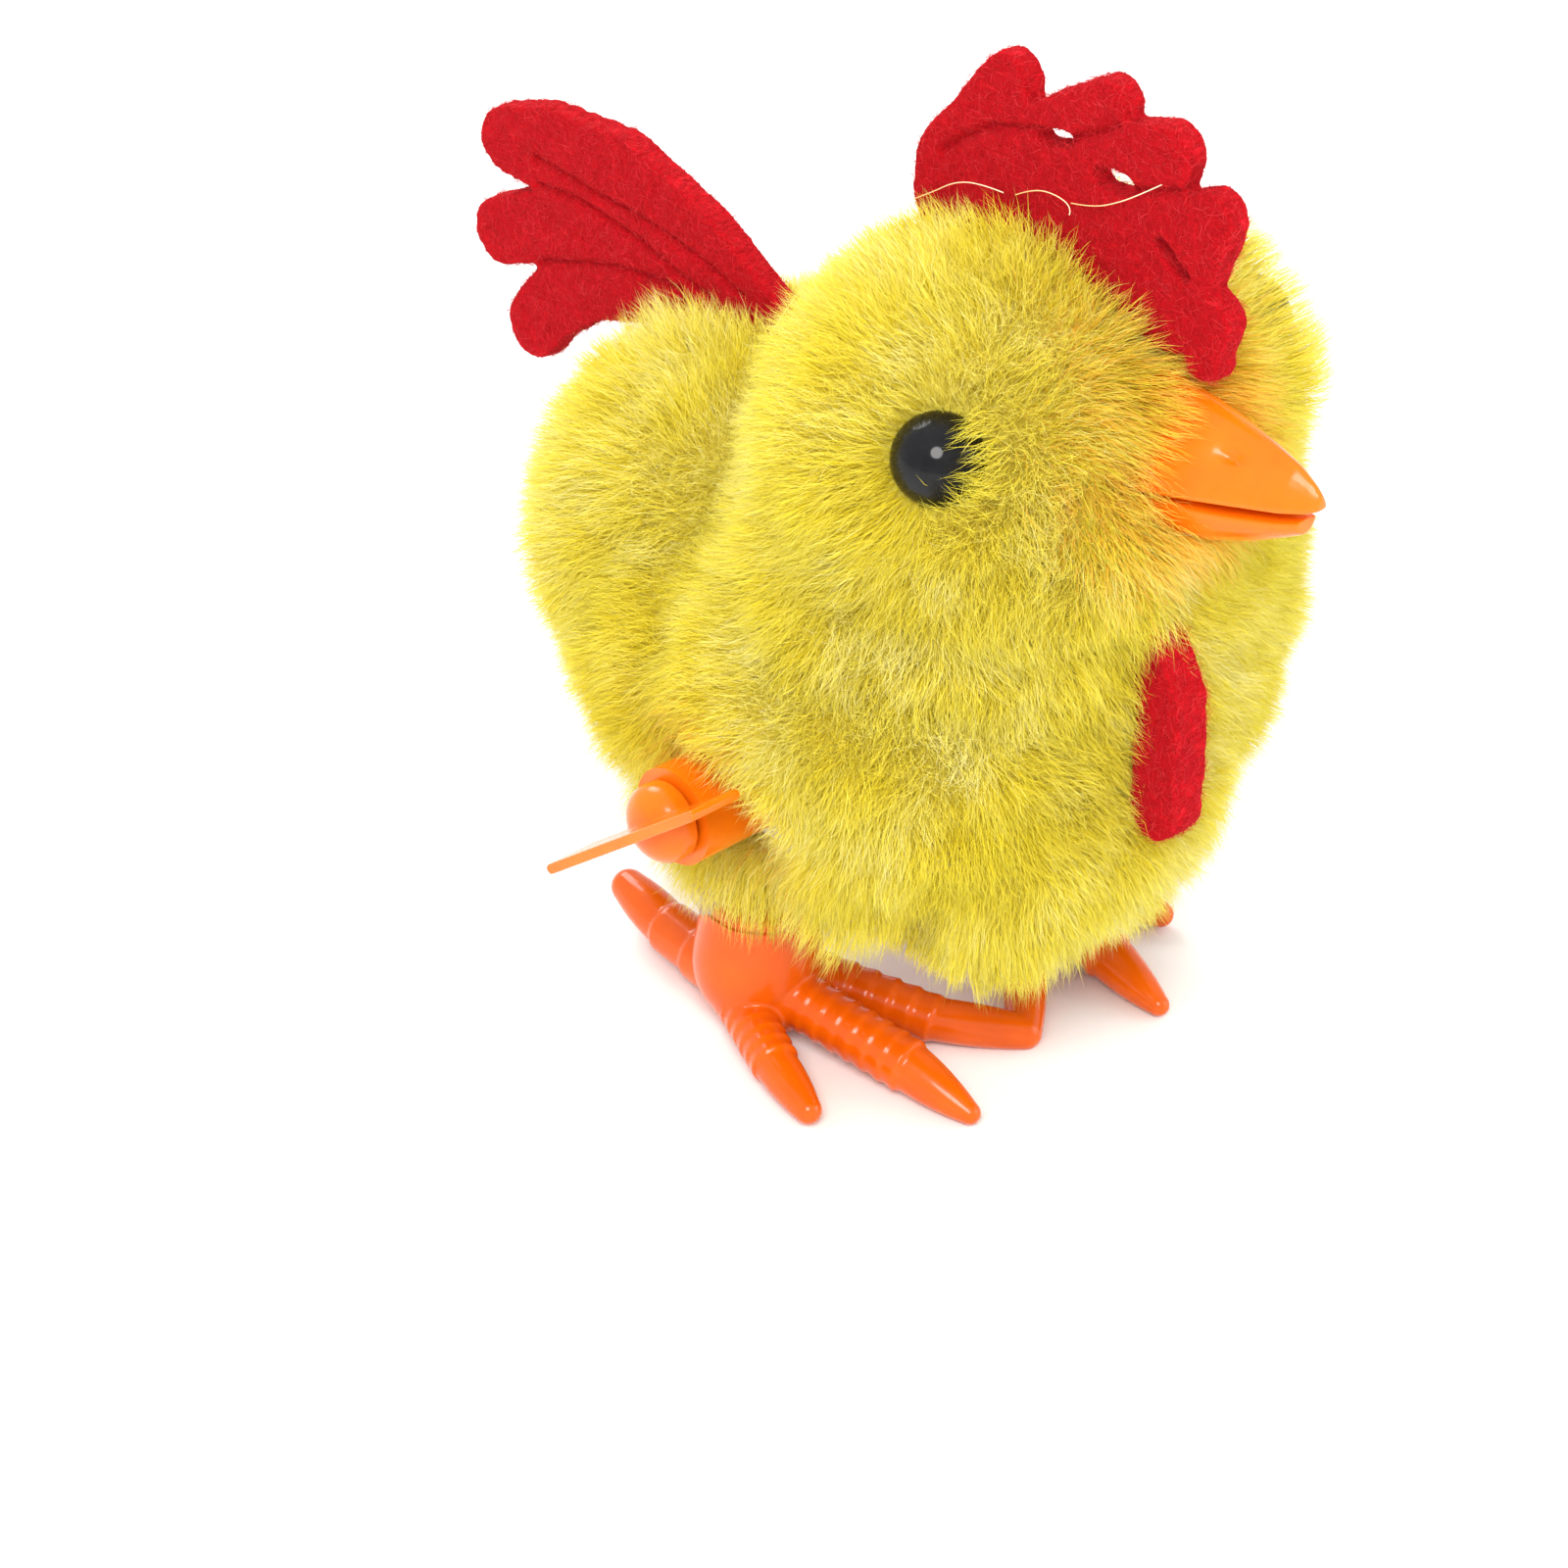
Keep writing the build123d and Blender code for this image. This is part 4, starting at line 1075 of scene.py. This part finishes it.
# ---- Stage -------------------------------------------------------------------------------------
def make_floor():
    """Pale ground under the toy, which isn't part of it."""
    size = FLOOR_HALF_WIDTH
    corners = [(-size, -size, 0), (size, -size, 0), (size, size, 0), (-size, size, 0)]
    mesh = bpy.data.meshes.new("floor")
    mesh.from_pydata(corners, [], [(0, 1, 2, 3)])
    floor = link(bpy.data.objects.new("floor", mesh))
    material, tree, shader = new_material("pale_floor")
    grain = noise_value(tree, 40.0, 3.0, 0.5)
    stops = ((0.3, (0.88, 0.88, 0.88)), (0.7, (0.91, 0.91, 0.91)))
    tree.links.new(ramp(tree, grain, stops), shader.inputs["Base Color"])
    shader.inputs["Roughness"].default_value = 0.7
    mesh.materials.append(material)


def area_light(name, place, power, size, colour):
    """Round lamp that points at the middle of the bird."""
    light = bpy.data.lights.new(name, "AREA")
    light.shape = "DISK"
    light.energy = power
    light.size = size
    light.color = colour
    obj = link(bpy.data.objects.new(name, light))
    obj.location = place
    obj.rotation_euler = (Vector(LIT_POINT) - Vector(place)).to_track_quat("-Z", "Y").to_euler()


def make_lights():
    """Three soft lamps and an even white surround."""
    for settings in LIGHTS:
        area_light(*settings)
    world = bpy.data.worlds.new("studio")
    world.use_nodes = True
    background = world.node_tree.nodes["Background"]
    background.inputs["Color"].default_value = (1.0, 1.0, 1.0, 1.0)
    background.inputs["Strength"].default_value = WORLD_STRENGTH
    bpy.context.scene.world = world
    bpy.context.scene.view_settings.view_transform = "Standard"


def make_camera():
    """Camera that looks down on the bird's right side from in front."""
    azimuth = math.radians(CAMERA_AZIMUTH)
    elevation = math.radians(CAMERA_ELEVATION)
    roll = math.radians(CAMERA_ROLL)
    back = Vector((
        math.sin(azimuth) * math.cos(elevation),
        -math.cos(azimuth) * math.cos(elevation),
        math.sin(elevation),
    ))
    right = Vector((math.cos(azimuth), math.sin(azimuth), 0.0))
    up = back.cross(right)
    tilted_right = right * math.cos(roll) + up * math.sin(roll)
    tilted_up = up * math.cos(roll) - right * math.sin(roll)
    data = bpy.data.cameras.new("camera")
    data.lens = CAMERA_LENS
    data.sensor_width = SENSOR_WIDTH
    data.clip_start = 0.01
    camera = link(bpy.data.objects.new("camera", data))
    place = Vector(CAMERA_TARGET) * MM + back * CAMERA_DISTANCE * MM
    turn = Matrix((tilted_right, tilted_up, back)).transposed().to_4x4()
    camera.matrix_world = Matrix.Translation(place) @ turn
    bpy.context.scene.camera = camera


make_camera()
make_lights()
make_floor()
plush_skin = make_skin()
make_pile(plush_skin)
make_hem_fringe()
open_hem(plush_skin)
finish_piece(plush_skin, "plush_backing", "body", "plush", "plush_right", "plush_left")
make_stuffing()
make_felt()
make_beak()
make_plastic()
make_glue()
make_threads()
